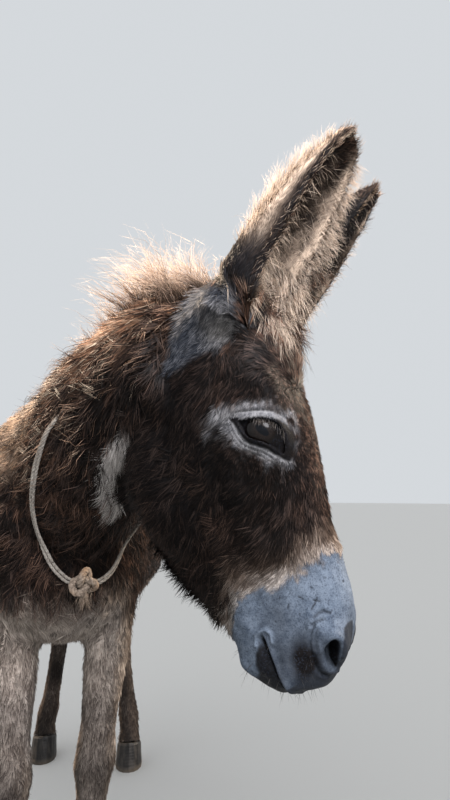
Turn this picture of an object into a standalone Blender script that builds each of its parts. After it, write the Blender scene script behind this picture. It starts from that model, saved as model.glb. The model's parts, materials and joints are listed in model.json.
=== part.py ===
"""A life-size donkey that stands square, looks to its left and wears a plain rope collar.

Metres, +Z up. The donkey's own frame has its nose along -Y and its left side along +X, with the
floor at z = 0. The flesh is modelled whole, from lofted lengths and muscle forms that are fused into
one skin, and is then parted by thin cuts. At the end all of it is moved so that the origin lies
under the middle of its bounding box.
"""

import math

import bmesh
import bpy
import numpy as np
from mathutils import Matrix, Vector
from mathutils.bvhtree import BVHTree

# ---- driving dimensions ---------------------------------------------------------------------

GAP = 0.0003                 # between two faces that meet
WITHERS = 1.00               # height of the coat over the withers
HEAD_LENGTH = 0.468          # poll to upper lip
EAR_LENGTH = 0.262           # root to the tip of its fur
EYE_RADIUS = 0.0215
HOOF_HEIGHT = 0.056
ROPE_RADIUS = 0.0036
MANE_HEIGHT = 0.055

POLL = Vector((0.2454, -0.6958, 1.030))   # top of the head, where its long axis starts
HEAD_TURN = math.radians(60.5)            # heading of the face, from -Y towards +X
HEAD_DROP = math.radians(12.8)            # long axis of the head, from straight down

FORE_FEET = {"left": (0.046, -0.268), "right": (-0.060, -0.343)}
HIND_FEET = {"left": (0.124, 0.415), "right": (-0.128, 0.500)}
FORE_TOP = (0.088, -0.285)                # x, y of a forelimb where it joins the trunk
HIND_TOP = (0.112, 0.440)

FUSE_VOXEL = 0.006
FLESH_TRIANGLES = 3160
LEG_CUT = 0.500              # height at which the legs are parted from the trunk
SIDES = {"left": 1, "right": -1}

COLOURS = {
    "coat": (0.085, 0.045, 0.028), "coat_pale": (0.42, 0.36, 0.31), "coat_dark": (0.03, 0.022, 0.02),
    "eye": (0.012, 0.009, 0.008), "hoof": (0.05, 0.045, 0.042), "rope": (0.42, 0.38, 0.31),
}
ROUGHNESS = {"eye": 0.08, "hoof": 0.55, "rope": 0.9}


# ---- helpers --------------------------------------------------------------------------------

def clear_scene():
    for obj in list(bpy.data.objects):
        bpy.data.objects.remove(obj, do_unlink=True)


def material(name):
    made = bpy.data.materials.get(name)
    if made is None:
        made = bpy.data.materials.new(name)
        made.use_nodes = True
        shader = made.node_tree.nodes["Principled BSDF"]
        shader.inputs["Base Color"].default_value = (*COLOURS[name], 1.0)
        shader.inputs["Roughness"].default_value = ROUGHNESS.get(name, 0.85)
    return made


def mesh_of(name, points, faces):
    mesh = bpy.data.meshes.new(name)
    mesh.from_pydata([tuple(p) for p in points], [], faces)
    work = bmesh.new()
    work.from_mesh(mesh)
    bmesh.ops.recalc_face_normals(work, faces=work.faces)
    work.to_mesh(mesh)
    work.free()
    return mesh


def object_of(name, mesh, collection, finish=None):
    obj = bpy.data.objects.new(name, mesh)
    collection.objects.link(obj)
    if finish:
        mesh.materials.clear()
        mesh.materials.append(material(finish))
        for face in mesh.polygons:
            face.use_smooth = True
    return obj


def smooth_rows(rows, steps):
    """Rows of numbers with `steps` Catmull-Rom rows in each span, so that a loft runs smoothly."""
    rows = np.array(rows, float)
    ends = np.vstack([2 * rows[0] - rows[1], rows, 2 * rows[-1] - rows[-2]])
    out = []
    for i in range(len(rows) - 1):
        a, b, c, d = ends[i:i + 4]
        for k in range(steps):
            t = k / steps
            out.append(0.5 * (2 * b + (c - a) * t + (2 * a - 5 * b + 4 * c - d) * t * t
                              + (3 * b - a - 3 * c + d) * t ** 3))
    out.append(rows[-1])
    return np.array(out)


def oval(half_width, top, bottom, wide, power_top, power_bottom, count):
    """Points (x, z) of a closed body section: widest at height `wide`, with its own roundness
    above and below. A power of 2 is an ellipse, more is squarer and less is more pointed."""
    points = []
    for k in range(count):
        angle = 2 * math.pi * k / count
        c, s = math.cos(angle), math.sin(angle)
        power = power_top if s >= 0 else power_bottom
        reach = (top - wide) if s >= 0 else (wide - bottom)
        points.append((half_width * math.copysign(abs(c) ** (2 / power), c),
                       wide + reach * math.copysign(abs(s) ** (2 / power), s)))
    return points


def loft(name, rings):
    """A closed mesh through rings of the same number of points, with a fan on each end."""
    count = len(rings[0])
    points = [p for ring in rings for p in ring]
    faces = [(r * count + k, r * count + (k + 1) % count,
              (r + 1) * count + (k + 1) % count, (r + 1) * count + k)
             for r in range(len(rings) - 1) for k in range(count)]
    for r in (0, len(rings) - 1):
        points.append(sum((Vector(p) for p in rings[r]), Vector()) / count)
        faces += [(r * count + k, r * count + (k + 1) % count, len(points) - 1)
                  for k in range(count)]
    return mesh_of(name, points, faces)


def ellipsoid(centre, radii, turn=None, around=20, high=12):
    """A muscle or bone form: a UV sphere stretched to `radii` along the axes of `turn`."""
    work = bmesh.new()
    place = Matrix.Translation(centre) @ (turn or Matrix()) @ Matrix.Diagonal((*radii, 1))
    bmesh.ops.create_uvsphere(work, u_segments=around, v_segments=high, radius=1, matrix=place)
    mesh = bpy.data.meshes.new("form")
    work.to_mesh(mesh)
    work.free()
    return mesh


def joined(name, meshes, collection):
    work = bmesh.new()
    for mesh in meshes:
        work.from_mesh(mesh)
    mesh = bpy.data.meshes.new(name)
    work.to_mesh(mesh)
    work.free()
    return object_of(name, mesh, collection)


def baked(obj):
    """The object's mesh with its modifiers applied, and the modifiers gone."""
    mesh = bpy.data.meshes.new_from_object(obj.evaluated_get(bpy.context.evaluated_depsgraph_get()))
    obj.modifiers.clear()
    obj.data = mesh
    return obj


def fuse(obj, voxel, smoothing, triangles, keep=None):
    """Fuses overlapping forms into one skin, relaxes it and thins it to about `triangles`.
    `keep` is a function of a point that is 1 where the skin needs its triangles most."""
    remesh = obj.modifiers.new("fuse", "REMESH")
    remesh.mode = "VOXEL"
    remesh.voxel_size = voxel
    relax = obj.modifiers.new("relax", "SMOOTH")
    relax.factor = 0.5
    relax.iterations = smoothing
    baked(obj)
    thin = obj.modifiers.new("thin", "DECIMATE")
    faces = sum(len(face.vertices) - 2 for face in obj.data.polygons)
    thin.ratio = triangles / faces
    if keep:
        group = obj.vertex_groups.new(name="keep")
        for vertex in obj.data.vertices:
            group.add([vertex.index], keep(vertex.co), "REPLACE")
        thin.vertex_group = "keep"
        thin.invert_vertex_group = True
        thin.vertex_group_factor = 0.008
    baked(obj)
    obj.vertex_groups.clear()
    return obj


def boolean(obj, cutter, operation):
    cut = obj.modifiers.new(operation.lower(), "BOOLEAN")
    cut.operation = operation
    cut.object = cutter
    return baked(obj)


def block(name, low, high, place=None):
    """A box from `low` to `high` in the axes of `place`, kept as a cutter."""
    work = bmesh.new()
    low, high = Vector(low), Vector(high)
    size = Matrix.Translation((low + high) / 2) @ Matrix.Diagonal((*(high - low), 1))
    bmesh.ops.create_cube(work, size=1, matrix=(place or Matrix()) @ size)
    mesh = bpy.data.meshes.new(name)
    work.to_mesh(mesh)
    work.free()
    return helper(name, mesh)


def helper(name, mesh):
    obj = object_of(name, mesh, CUTTERS)
    obj.hide_render = True
    obj.display_type = "WIRE"
    return obj


def plane_frame(point, normal, hint=(0, 0, 1)):
    """Axes at `point` with Z along `normal`, so that a block from z = 0 up is one side of a plane."""
    z = Vector(normal).normalized()
    x = Vector(hint).cross(z).normalized()
    y = z.cross(x)
    return Matrix.Translation(point) @ Matrix((x, y, z)).transposed().to_4x4()


def part_off(name, body, low, high, place, finish):
    """Cuts the block off `body` as a node of its own, with a thin gap along the plane z = low[2]."""
    cutter = block("cut_" + name, low, high, place)
    piece = object_of(name, body.data.copy(), PARTS)
    boolean(piece, cutter, "INTERSECT")
    lower = Vector(low) - Vector((GAP, GAP, GAP))
    upper = Vector(high) + Vector((GAP, GAP, GAP))
    boolean(body, block("gap_" + name, lower, upper, place), "DIFFERENCE")
    keep_largest(body)
    keep_largest(piece)
    finish_piece(piece, finish)
    return piece


def keep_largest(obj):
    """Drops crumbs that a cut leaves beside the piece itself."""
    work = bmesh.new()
    work.from_mesh(obj.data)
    left, islands = set(work.verts), []
    while left:
        grown = {left.pop()}
        edge = list(grown)
        while edge:
            near = {e.other_vert(v) for v in edge for e in v.link_edges} - grown
            grown |= near
            edge = list(near)
        left -= grown
        islands.append(grown)
    islands.sort(key=len)
    for crumb in islands[:-1]:
        bmesh.ops.delete(work, geom=list(crumb), context="VERTS")
    work.to_mesh(obj.data)
    work.free()


def finish_piece(obj, finish):
    obj.data.materials.clear()
    obj.data.materials.append(material(finish))
    obj.data.shade_smooth()
    obj.data.set_sharp_from_angle(angle=math.radians(50))


def grown(name, obj, amount):
    """A copy of `obj` pushed out by `amount` along its normals, for a cut that leaves a gap."""
    copy = helper(name, obj.data.copy())
    push = copy.modifiers.new("push", "DISPLACE")
    push.strength = amount
    push.mid_level = 0.0
    return baked(copy)


# ---- the head's own axes --------------------------------------------------------------------

FACING = Vector((math.sin(HEAD_TURN), -math.cos(HEAD_TURN), 0))
ALONG = math.sin(HEAD_DROP) * FACING - math.cos(HEAD_DROP) * Vector((0, 0, 1))   # poll to muzzle
FRONT = math.cos(HEAD_DROP) * FACING + math.sin(HEAD_DROP) * Vector((0, 0, 1))   # out of the forehead
LEFTWARD = FRONT.cross(ALONG)                                                     # the head's left
HEAD = Matrix.Translation(POLL) @ Matrix((FRONT, ALONG, LEFTWARD)).transposed().to_4x4()


def on_head(along, front, left):
    """A world point from distances, in metres, along the head's own axes."""
    return HEAD @ Vector((front, along, left))


# ---- flesh ----------------------------------------------------------------------------------

# distance back, top, bottom, half width, height of the widest place, power above, power below
TRUNK_SECTIONS = [
    (-0.465, 0.840, 0.655, 0.050, 0.750, 2.0, 2.0),
    (-0.430, 0.905, 0.590, 0.100, 0.730, 2.0, 2.0),
    (-0.370, 0.960, 0.540, 0.132, 0.720, 2.0, 2.0),
    (-0.280, 0.985, 0.512, 0.158, 0.735, 2.0, 2.0),
    (-0.180, WITHERS, 0.500, 0.180, 0.770, 2.2, 1.9),
    (-0.050, 0.985, 0.482, 0.206, 0.740, 2.1, 1.9),
    (0.100, 0.968, 0.464, 0.226, 0.710, 2.1, 1.9),
    (0.220, 0.968, 0.472, 0.224, 0.720, 2.1, 1.9),
    (0.340, 0.984, 0.515, 0.204, 0.765, 2.1, 2.0),
    (0.440, 0.990, 0.600, 0.176, 0.810, 2.0, 2.0),
    (0.520, 0.960, 0.680, 0.142, 0.820, 2.0, 2.0),
    (0.585, 0.900, 0.770, 0.078, 0.835, 2.0, 2.0),
]

# centre x, y, z, half height, half width
NECK_SECTIONS = [
    (0.000, -0.200, 0.785, 0.190, 0.138),
    (0.012, -0.330, 0.812, 0.178, 0.124),
    (0.042, -0.435, 0.855, 0.160, 0.106),
    (0.090, -0.530, 0.900, 0.142, 0.093),
    (0.142, -0.610, 0.935, 0.126, 0.084),
    (0.190, -0.670, 0.960, 0.112, 0.076),
]

# along the head from the poll, front edge, rear edge, widest place, half width, powers; centimetres
HEAD_SECTIONS = [
    (-3.0, 0.8, -6.0, -3.0, 4.0, 2.0, 2.0),
    (0.0, 2.8, -10.0, -3.0, 6.2, 2.1, 2.0),
    (4.0, 3.9, -13.5, -2.6, 7.0, 2.2, 1.9),
    (8.0, 4.6, -16.0, -1.8, 7.7, 2.4, 1.8),
    (12.0, 5.0, -17.4, -1.0, 8.4, 2.6, 1.7),
    (16.5, 5.4, -18.2, -0.4, 8.8, 2.7, 1.6),
    (21.0, 5.4, -19.2, -0.8, 8.2, 2.6, 1.6),
    (25.0, 5.1, -18.9, -1.4, 7.2, 2.5, 1.6),
    (29.0, 4.8, -17.4, -1.8, 6.1, 2.4, 1.6),
    (33.0, 4.9, -15.0, -2.0, 5.3, 2.4, 1.7),
    (37.0, 5.1, -11.8, -2.2, 4.9, 2.4, 1.9),
    (40.0, 4.8, -9.6, -2.4, 4.9, 2.4, 2.0),
    (42.5, 3.6, -8.7, -2.6, 4.8, 2.4, 2.0),
    (44.4, 1.5, -7.5, -2.8, 4.4, 2.2, 2.0),
    (45.7, -0.7, -6.2, -3.2, 3.5, 2.0, 2.0),
    (46.4, -2.2, -4.8, -3.4, 2.0, 2.0, 2.0),
]

# height, share of the way from foot to top, distance back, half width, half length; hocks lean in
HOCKS_IN = 0.026
FORELIMB = [
    (0.800, 1.00, 0.010, 0.050, 0.090),
    (0.690, 1.00, -0.015, 0.054, 0.098),
    (0.605, 0.92, 0.006, 0.052, 0.084),
    (0.530, 0.80, 0.004, 0.046, 0.062),
    (0.450, 0.65, 0.000, 0.0385, 0.047),
    (0.375, 0.50, -0.002, 0.0325, 0.038),
    (0.318, 0.42, -0.006, 0.0385, 0.041),
    (0.268, 0.34, -0.001, 0.0300, 0.034),
    (0.190, 0.22, 0.000, 0.0260, 0.032),
    (0.142, 0.14, 0.003, 0.0275, 0.035),
    (0.110, 0.10, 0.004, 0.0325, 0.040),
    (0.080, 0.04, -0.010, 0.0300, 0.034),
    (0.058, 0.00, -0.020, 0.0350, 0.040),
    (0.030, 0.00, -0.028, 0.0340, 0.040),
]
HINDLIMB = [
    (0.880, 1.00, -0.020, 0.068, 0.115),
    (0.760, 1.00, -0.045, 0.075, 0.122),
    (0.650, 0.95, -0.062, 0.062, 0.112),
    (0.565, 0.85, -0.036, 0.048, 0.084),
    (0.485, 0.70, 0.000, 0.0365, 0.052),
    (0.425, 0.60, 0.016, 0.0360, 0.051),
    (0.370, 0.50, 0.008, 0.0310, 0.041),
    (0.280, 0.35, 0.000, 0.0255, 0.034),
    (0.165, 0.20, 0.000, 0.0265, 0.036),
    (0.125, 0.14, 0.001, 0.0325, 0.042),
    (0.086, 0.05, -0.014, 0.0300, 0.034),
    (0.060, 0.00, -0.025, 0.0345, 0.040),
    (0.030, 0.00, -0.032, 0.0335, 0.040),
]

# centre y, z and radius of the dock, which hangs behind the buttocks
TAIL_DOCK = [
    (0.545, 0.925, 0.034), (0.600, 0.895, 0.031), (0.628, 0.830, 0.026),
    (0.636, 0.740, 0.023), (0.636, 0.620, 0.021), (0.634, 0.560, 0.020),
]
TAIL_TUFT = [
    (0.634, 0.6, 0.020), (0.635, 0.540, 0.026), (0.636, 0.470, 0.034),
    (0.634, 0.400, 0.034), (0.630, 0.340, 0.022), (0.627, 0.300, 0.006),
]


def trunk_mesh():
    rings = []
    for back, top, bottom, half, wide, above, below in smooth_rows(TRUNK_SECTIONS, 3):
        ring = oval(half, top, bottom, wide, above, below, 32)
        rings.append([(x, back, z) for x, z in ring])
    return loft("trunk_form", rings)


def neck_mesh():
    rows = smooth_rows(NECK_SECTIONS, 4)
    rings = []
    for i, row in enumerate(rows):
        centre = Vector(row[:3])
        before, after = rows[max(i - 1, 0)], rows[min(i + 1, len(rows) - 1)]
        tangent = (Vector(after[:3]) - Vector(before[:3])).normalized()
        across = tangent.cross(Vector((0, 0, 1))).normalized()
        upright = across.cross(tangent)
        ring = oval(row[4], row[3], -row[3], -0.02, 1.8, 2.0, 28)
        rings.append([centre + across * x + upright * z for x, z in ring])
    return loft("neck_form", rings)


def head_mesh():
    rings = []
    for row in smooth_rows(HEAD_SECTIONS, 3):
        along, front, rear, wide, half = row[:5] / 100
        ring = oval(half, front, rear, wide, row[5], row[6], 32)
        rings.append([on_head(along, z, x) for x, z in ring])
    return loft("head_form", rings)


def head_forms():
    """Brows, cheeks, facial crests, nostril wings, lips and chin, as (along, front, left) in cm."""
    turn = HEAD.to_3x3().to_4x4()
    forms = [
        ((3.0, 0.5, 0.0), (5.5, 4.0, 4.6)),          # poll and forelock cushion
        ((9.0, 3.4, 0.0), (7.0, 2.6, 5.6)),          # forehead dome
        ((43.9, -1.4, 0.0), (2.7, 3.3, 3.9)),        # upper lip
        ((43.0, -6.1, 0.0), (2.6, 2.3, 2.9)),        # lower lip
        ((42.0, -7.4, 0.0), (2.5, 2.3, 3.2)),        # chin
    ]
    for side in SIDES.values():
        forms += [
            ((15.4, 2.3, 6.6 * side), (4.6, 2.1, 2.5)),      # brow over the eye
            ((19.6, -3.0, 6.7 * side), (6.5, 1.9, 2.0)),     # cheek bone under the eye
            ((27.0, -1.6, 5.2 * side), (7.0, 1.4, 1.2)),     # facial crest
            ((20.0, -10.0, 3.5 * side), (10.0, 8.2, 3.2)),   # jaw muscle
            ((18.6, 1.1, 7.15 * side), (2.7, 2.6, 2.5)),     # lids over the eyeball
            ((2.6, -1.6, 4.3 * side), (4.4, 4.4, 3.2)),      # ear root
            ((40.8, 2.2, 3.2 * side), (2.8, 2.1, 2.0)),      # wing of the nostril
            ((43.2, -3.0, 2.9 * side), (2.8, 2.6, 2.3)),     # side of the upper lip
            ((31.0, 2.9, 1.9 * side), (9.0, 1.5, 2.2)),      # nasal bone
        ]
    return [ellipsoid(on_head(*(c / 100 for c in centre)), (front / 100, along / 100, left / 100), turn)
            for centre, (along, front, left) in forms]


def limb_mesh(sections, foot, top, side, lean_in=0.0):
    rings = []
    for height, share, back, half, length in smooth_rows(sections, 3):
        bow = math.sin(math.pi * min(max((height - 0.10) / 0.62, 0.0), 1.0))
        x = foot[0] + (side * top[0] - foot[0]) * share - side * lean_in * bow
        y = foot[1] + (top[1] - foot[1]) * share + back
        ring = oval(half, length, -length, 0, 2.1, 2.1, 18)
        rings.append([(x + a, y + b, height) for a, b in ring])
    return loft("limb_form", rings)


def tail_mesh(sections, squash=1.0):
    rows = smooth_rows(sections, 2)
    rings = []
    for i, (y, z, radius) in enumerate(rows):
        before, after = rows[max(i - 1, 0)], rows[min(i + 1, len(rows) - 1)]
        tangent = Vector((0, after[0] - before[0], after[1] - before[1])).normalized()
        upright = tangent.cross(Vector((1, 0, 0)))
        ring = oval(radius * squash, radius, -radius, 0, 2, 2, 12)
        rings.append([Vector((a, y, z)) + upright * b for a, b in ring])
    return loft("tail_form", rings)


def muscle_forms():
    forms = [ellipsoid((0, -0.19, WITHERS - 0.055), (0.035, 0.13, 0.055))]
    for name, side in SIDES.items():
        fore, hind = FORE_FEET[name], HIND_FEET[name]
        lean = Matrix.Rotation(math.radians(-24), 4, "X")
        forms += [
            ellipsoid((side * 0.112, -0.235, 0.800), (0.050, 0.085, 0.165), lean),   # shoulder blade
            ellipsoid((side * 0.092, -0.330, 0.685), (0.046, 0.075, 0.080)),         # upper arm
            ellipsoid((side * 0.048, -0.395, 0.665), (0.050, 0.055, 0.085)),         # breast
            ellipsoid((side * 0.105, 0.410, 0.830), (0.085, 0.145, 0.140)),          # haunch
            ellipsoid((side * 0.095, 0.485, 0.730), (0.058, 0.075, 0.150)),          # buttock
            ellipsoid((side * 0.120, 0.320, 0.655), (0.050, 0.060, 0.075)),          # stifle
            ellipsoid((hind[0] - side * 0.034, 0.35 * hind[1] + 0.65 * HIND_TOP[1] + 0.044, 0.452),
                      (0.0165, 0.022, 0.050)),                                       # point of hock
            ellipsoid((fore[0] + side * 0.010, 0.58 * fore[1] + 0.42 * FORE_TOP[1] + 0.022, 0.325),
                      (0.020, 0.020, 0.026)),                                        # back of the knee
        ]
    return forms


def head_share(point):
    """1 on the muzzle and round the eyes, less on the rest of the head and little on the body."""
    front, along, left = HEAD.inverted() @ point
    if -0.04 < along < 0.50 and -0.22 < front < 0.08:
        near_eye = math.hypot(along - EYE_AT[0], front - EYE_AT[1]) < 0.05 and abs(left) > 0.05
        return 0.8 if along > 0.38 or near_eye else 0.35
    return 0.5 if point.z < 0.45 else 0.35


def flesh():
    limbs = [limb_mesh(FORELIMB, FORE_FEET[name], FORE_TOP, side) for name, side in SIDES.items()]
    limbs += [limb_mesh(HINDLIMB, HIND_FEET[name], HIND_TOP, side, HOCKS_IN)
              for name, side in SIDES.items()]
    forms = [trunk_mesh(), neck_mesh(), head_mesh(), tail_mesh(TAIL_DOCK)]
    body = joined("trunk", forms + limbs + muscle_forms() + head_forms(), PARTS)
    return fuse(body, FUSE_VOXEL, 9, FLESH_TRIANGLES, head_share)


# ---- ears -----------------------------------------------------------------------------------

EAR_ROOT = (0.028, -0.011, 0.052)     # along, front, left
EAR_TIPS = {"left": (-0.106, 0.215, 0.052), "right": (-0.133, 0.214, 0.050)}
EAR_OPENS = {"left": math.radians(6), "right": math.radians(8)}   # from the face's side outwards
EAR_WALL = 0.0115                     # skin with the fur on both its sides

# share of the length, half width, half angle of the wall round the cup in degrees
EAR_SECTIONS = [
    (-0.02, 0.044, 165), (0.10, 0.0450, 140), (0.25, 0.0450, 120), (0.42, 0.0460, 112),
    (0.58, 0.0450, 103), (0.74, 0.0400, 92), (0.86, 0.0340, 80), (0.95, 0.0240, 70), (1.00, 0.012, 56),
]


def ear(name, side):
    root = on_head(EAR_ROOT[0], EAR_ROOT[1], side * EAR_ROOT[2])
    tip = EAR_TIPS[name]
    tip = on_head(tip[0], tip[1], side * tip[2])
    axis = (tip - root).normalized()
    tip = root + axis * (EAR_LENGTH - EAR_WALL / 2)
    faceward = (FRONT + ALONG) - axis * (FRONT + ALONG).dot(axis)
    faceward.normalize()
    outward = LEFTWARD * side
    outward = (outward - axis * outward.dot(axis) - faceward * outward.dot(faceward)).normalized()
    opening = faceward * math.cos(EAR_OPENS[name]) + outward * math.sin(EAR_OPENS[name])
    across = axis.cross(opening)
    points, columns = [], 13
    rows = smooth_rows(EAR_SECTIONS, 2)
    for share, half, angle in rows:
        spread = math.radians(angle)
        radius = half / math.sin(min(spread, math.pi / 2))
        bow = opening * 0.010 * math.sin(math.pi * min(max(share, 0), 1))
        back = root.lerp(tip, share) - bow + opening * (radius * 0.55)
        for k in range(columns):
            turn = spread * (2 * k / (columns - 1) - 1)
            points.append(back - opening * (radius * math.cos(turn)) + across * (radius * math.sin(turn)))
    faces = [(r * columns + k, r * columns + k + 1, (r + 1) * columns + k + 1, (r + 1) * columns + k)
             for r in range(len(rows) - 1) for k in range(columns - 1)]
    cup = object_of("cup", mesh_of("cup", points, faces), CUTTERS)
    wall = cup.modifiers.new("wall", "SOLIDIFY")
    wall.thickness = EAR_WALL
    wall.offset = 0.0
    baked(cup)
    turn = plane_frame((0, 0, 0), axis, opening)
    plug = ellipsoid(root + axis * 0.010 + opening * 0.010, (0.036, 0.040, 0.046), turn)
    made = joined("ear_" + name, [cup.data, plug], PARTS)
    bpy.data.objects.remove(cup)
    return fuse(made, 0.0030, 5, 430)


# ---- hooves ---------------------------------------------------------------------------------

# height share, distance forward, half width, half length
HOOF_SECTIONS = [
    (0.00, 0.012, 0.0375, 0.0470), (0.10, 0.0115, 0.0380, 0.0475), (0.55, 0.006, 0.0355, 0.0435),
    (0.92, 0.001, 0.0345, 0.0405), (1.00, 0.000, 0.0325, 0.0385),
]
HOOF_TILT = math.radians(17)          # the coronet slopes down to the heel


def hoof_top(foot, back):
    """Axes on the coronet, with Z up out of the hoof."""
    slope = Vector((0, math.sin(HOOF_TILT), math.cos(HOOF_TILT)))
    return plane_frame((foot[0], foot[1] + back, HOOF_HEIGHT), slope, (0, 1, 0))


def hoof(name, foot, back):
    rings = []
    for share, ahead, half, length in HOOF_SECTIONS:
        ring = oval(half, length, -length, 0, 2.5, 2.1, 16)
        lift = [HOOF_HEIGHT - math.tan(HOOF_TILT) * (b - ahead) for _, b in ring]
        rings.append([(foot[0] + a, foot[1] + back - ahead + b, max(share * z, 0.0))
                      for (a, b), z in zip(ring, lift)])
    made = object_of(name, loft(name, rings), PARTS)
    finish_piece(made, "hoof")
    return made


# ---- mane -----------------------------------------------------------------------------------

# share of the crest from poll to withers, height of the hair, half thickness
MANE_SECTIONS = [
    (0.00, 0.30, 0.012), (0.12, 0.85, 0.018), (0.30, 1.00, 0.020), (0.55, 0.80, 0.019),
    (0.80, 0.55, 0.017), (1.00, 0.20, 0.012),
]


def crest_point(tree, share):
    """A point on the top of the neck, between the ears at 0 and at the withers at 1."""
    rows = [(*on_head(0.004, -0.026, 0.0),), (0.150, -0.622, 1.0), (0.098, -0.540, 1.0),
            (0.052, -0.455, 1.0), (0.016, -0.345, 1.0), (0.000, -0.225, 1.0)]
    path = smooth_rows(rows, 8)
    at = path[min(int(share * (len(path) - 1)), len(path) - 1)]
    ahead = path[min(int(share * (len(path) - 1)) + 1, len(path) - 1)]
    tangent = Vector((ahead[0] - at[0], ahead[1] - at[1], 0))
    hit = tree.ray_cast(Vector((at[0], at[1], 1.4)), Vector((0, 0, -1)))[0]
    return hit, tangent


def mane(body):
    tree = BVHTree.FromObject(body, bpy.context.evaluated_depsgraph_get())
    rings, last = [], Vector((0, 1, 0))
    for share, height, half in smooth_rows(MANE_SECTIONS, 5):
        foot, tangent = crest_point(tree, share)
        tangent = tangent.normalized() if tangent.length > 1e-6 else last
        last = tangent
        across = tangent.cross(Vector((0, 0, 1))).normalized()
        ring = oval(half, MANE_HEIGHT * height, -0.035, -0.01, 1.35, 2.0, 16)
        rings.append([foot + across * x + Vector((0, 0, z)) for x, z in ring])
    made = object_of("mane", loft("mane", rings), PARTS)
    fuse(made, 0.005, 3, 300)
    boolean(made, grown("mane_seat", body, GAP), "DIFFERENCE")
    keep_largest(made)
    finish_piece(made, "coat")
    return made


# ---- eyes and nostrils ----------------------------------------------------------------------

EYE_AT = (0.186, 0.011, 0.0715)
EYE_SLANT = math.radians(39)          # line through both corners of the eye, from the head's length
NOSTRIL_AT = (0.422, 0.022, 0.0460)


def eye(name, side):
    """An eyeball whose socket is a ball a gap wider, sunk in the head."""
    centre = on_head(EYE_AT[0], EYE_AT[1], side * EYE_AT[2])
    ball = object_of("eye_" + name, ellipsoid(centre, [EYE_RADIUS] * 3, None, 16, 10), PARTS)
    finish_piece(ball, "eye")
    return helper("socket_" + name, ellipsoid(centre, [EYE_RADIUS + GAP] * 3, None, 16, 10))


def eye_opening(name, side):
    """The almond between the lids, cut through them in front of the eyeball."""
    turn = HEAD.to_3x3().to_4x4() @ Matrix.Rotation(-EYE_SLANT, 4, "Z")
    centre = on_head(EYE_AT[0], EYE_AT[1] + 0.001, side * (EYE_AT[2] + 0.021))
    return helper("lids_" + name, ellipsoid(centre, (0.0135, 0.0250, 0.0170), turn, 16, 8))


def nostril(name, side):
    turn = HEAD.to_3x3().to_4x4() @ Matrix.Rotation(math.radians(-28), 4, "Z")
    centre = on_head(NOSTRIL_AT[0], NOSTRIL_AT[1], side * NOSTRIL_AT[2])
    return helper("hollow_" + name, ellipsoid(centre, (0.0160, 0.0095, 0.0140), turn, 12, 6))


# ---- rope collar ----------------------------------------------------------------------------

# points near the coat that the collar passes, from under the throat up the right side and round
COLLAR_COURSE = [
    (0.056, -0.452, 0.640), (0.004, -0.452, 0.664), (-0.024, -0.486, 0.745), (-0.014, -0.540, 0.830),
    (0.022, -0.585, 0.910), (0.064, -0.598, 0.985), (0.108, -0.592, 1.050), (0.162, -0.556, 0.985),
    (0.186, -0.516, 0.900), (0.172, -0.474, 0.800), (0.138, -0.448, 0.700), (0.098, -0.444, 0.655),
]
COLLAR_STEPS = 52
COLLAR_EASE = 0.0022         # clearance of the cord over the coat
KNOT_AT = (0.044, -0.462, 0.652)
KNOT_RADIUS = 0.0150
KNOT_CORD = 0.0068


def collar_path(tree):
    """Points of the collar with the coat's outward direction at each, once round the neck."""
    course = np.array(COLLAR_COURSE)
    looped = smooth_rows(np.vstack([course[-2:], course, course[:3]]), 8)[16:16 + 8 * len(course)]
    path = []
    for k in range(COLLAR_STEPS):
        at = looped[int(k * len(looped) / COLLAR_STEPS)]
        spot, out = tree.find_nearest(Vector(at))[:2]
        path.append((spot, out))
    relaxed = []
    for k in range(COLLAR_STEPS):
        near = [path[(k + j) % COLLAR_STEPS] for j in (-2, -1, 0, 1, 2)]
        middle = sum((n[0] for n in near), Vector()) / 5
        out = sum((n[1] for n in near), Vector()).normalized()
        spot = tree.ray_cast(middle + out * 0.05, -out)[0]
        relaxed.append((spot, out))
    return relaxed


def collar(body):
    """Two turns of cord side by side, drawn as one flat band that rests on the coat."""
    tree = BVHTree.FromObject(body, bpy.context.evaluated_depsgraph_get())
    path, count = collar_path(tree), 6
    points = []
    for k, (spot, out) in enumerate(path):
        tangent = (path[(k + 1) % COLLAR_STEPS][0] - path[k - 1][0]).normalized()
        out = (out - tangent * out.dot(tangent)).normalized()
        across = tangent.cross(out)
        ring = oval(2.1 * ROPE_RADIUS, ROPE_RADIUS, -ROPE_RADIUS, 0, 2.6, 2.6, count)
        centre = spot + out * (ROPE_RADIUS + COLLAR_EASE)
        points += [centre + across * x + out * z for x, z in ring]
    faces = [(r * count + k, r * count + (k + 1) % count,
              (r + 1) % COLLAR_STEPS * count + (k + 1) % count, (r + 1) % COLLAR_STEPS * count + k)
             for r in range(COLLAR_STEPS) for k in range(count)]
    rope = object_of("rope_collar", mesh_of("rope_collar", points, faces), PARTS)
    finish_piece(rope, "rope")
    return rope


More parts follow.
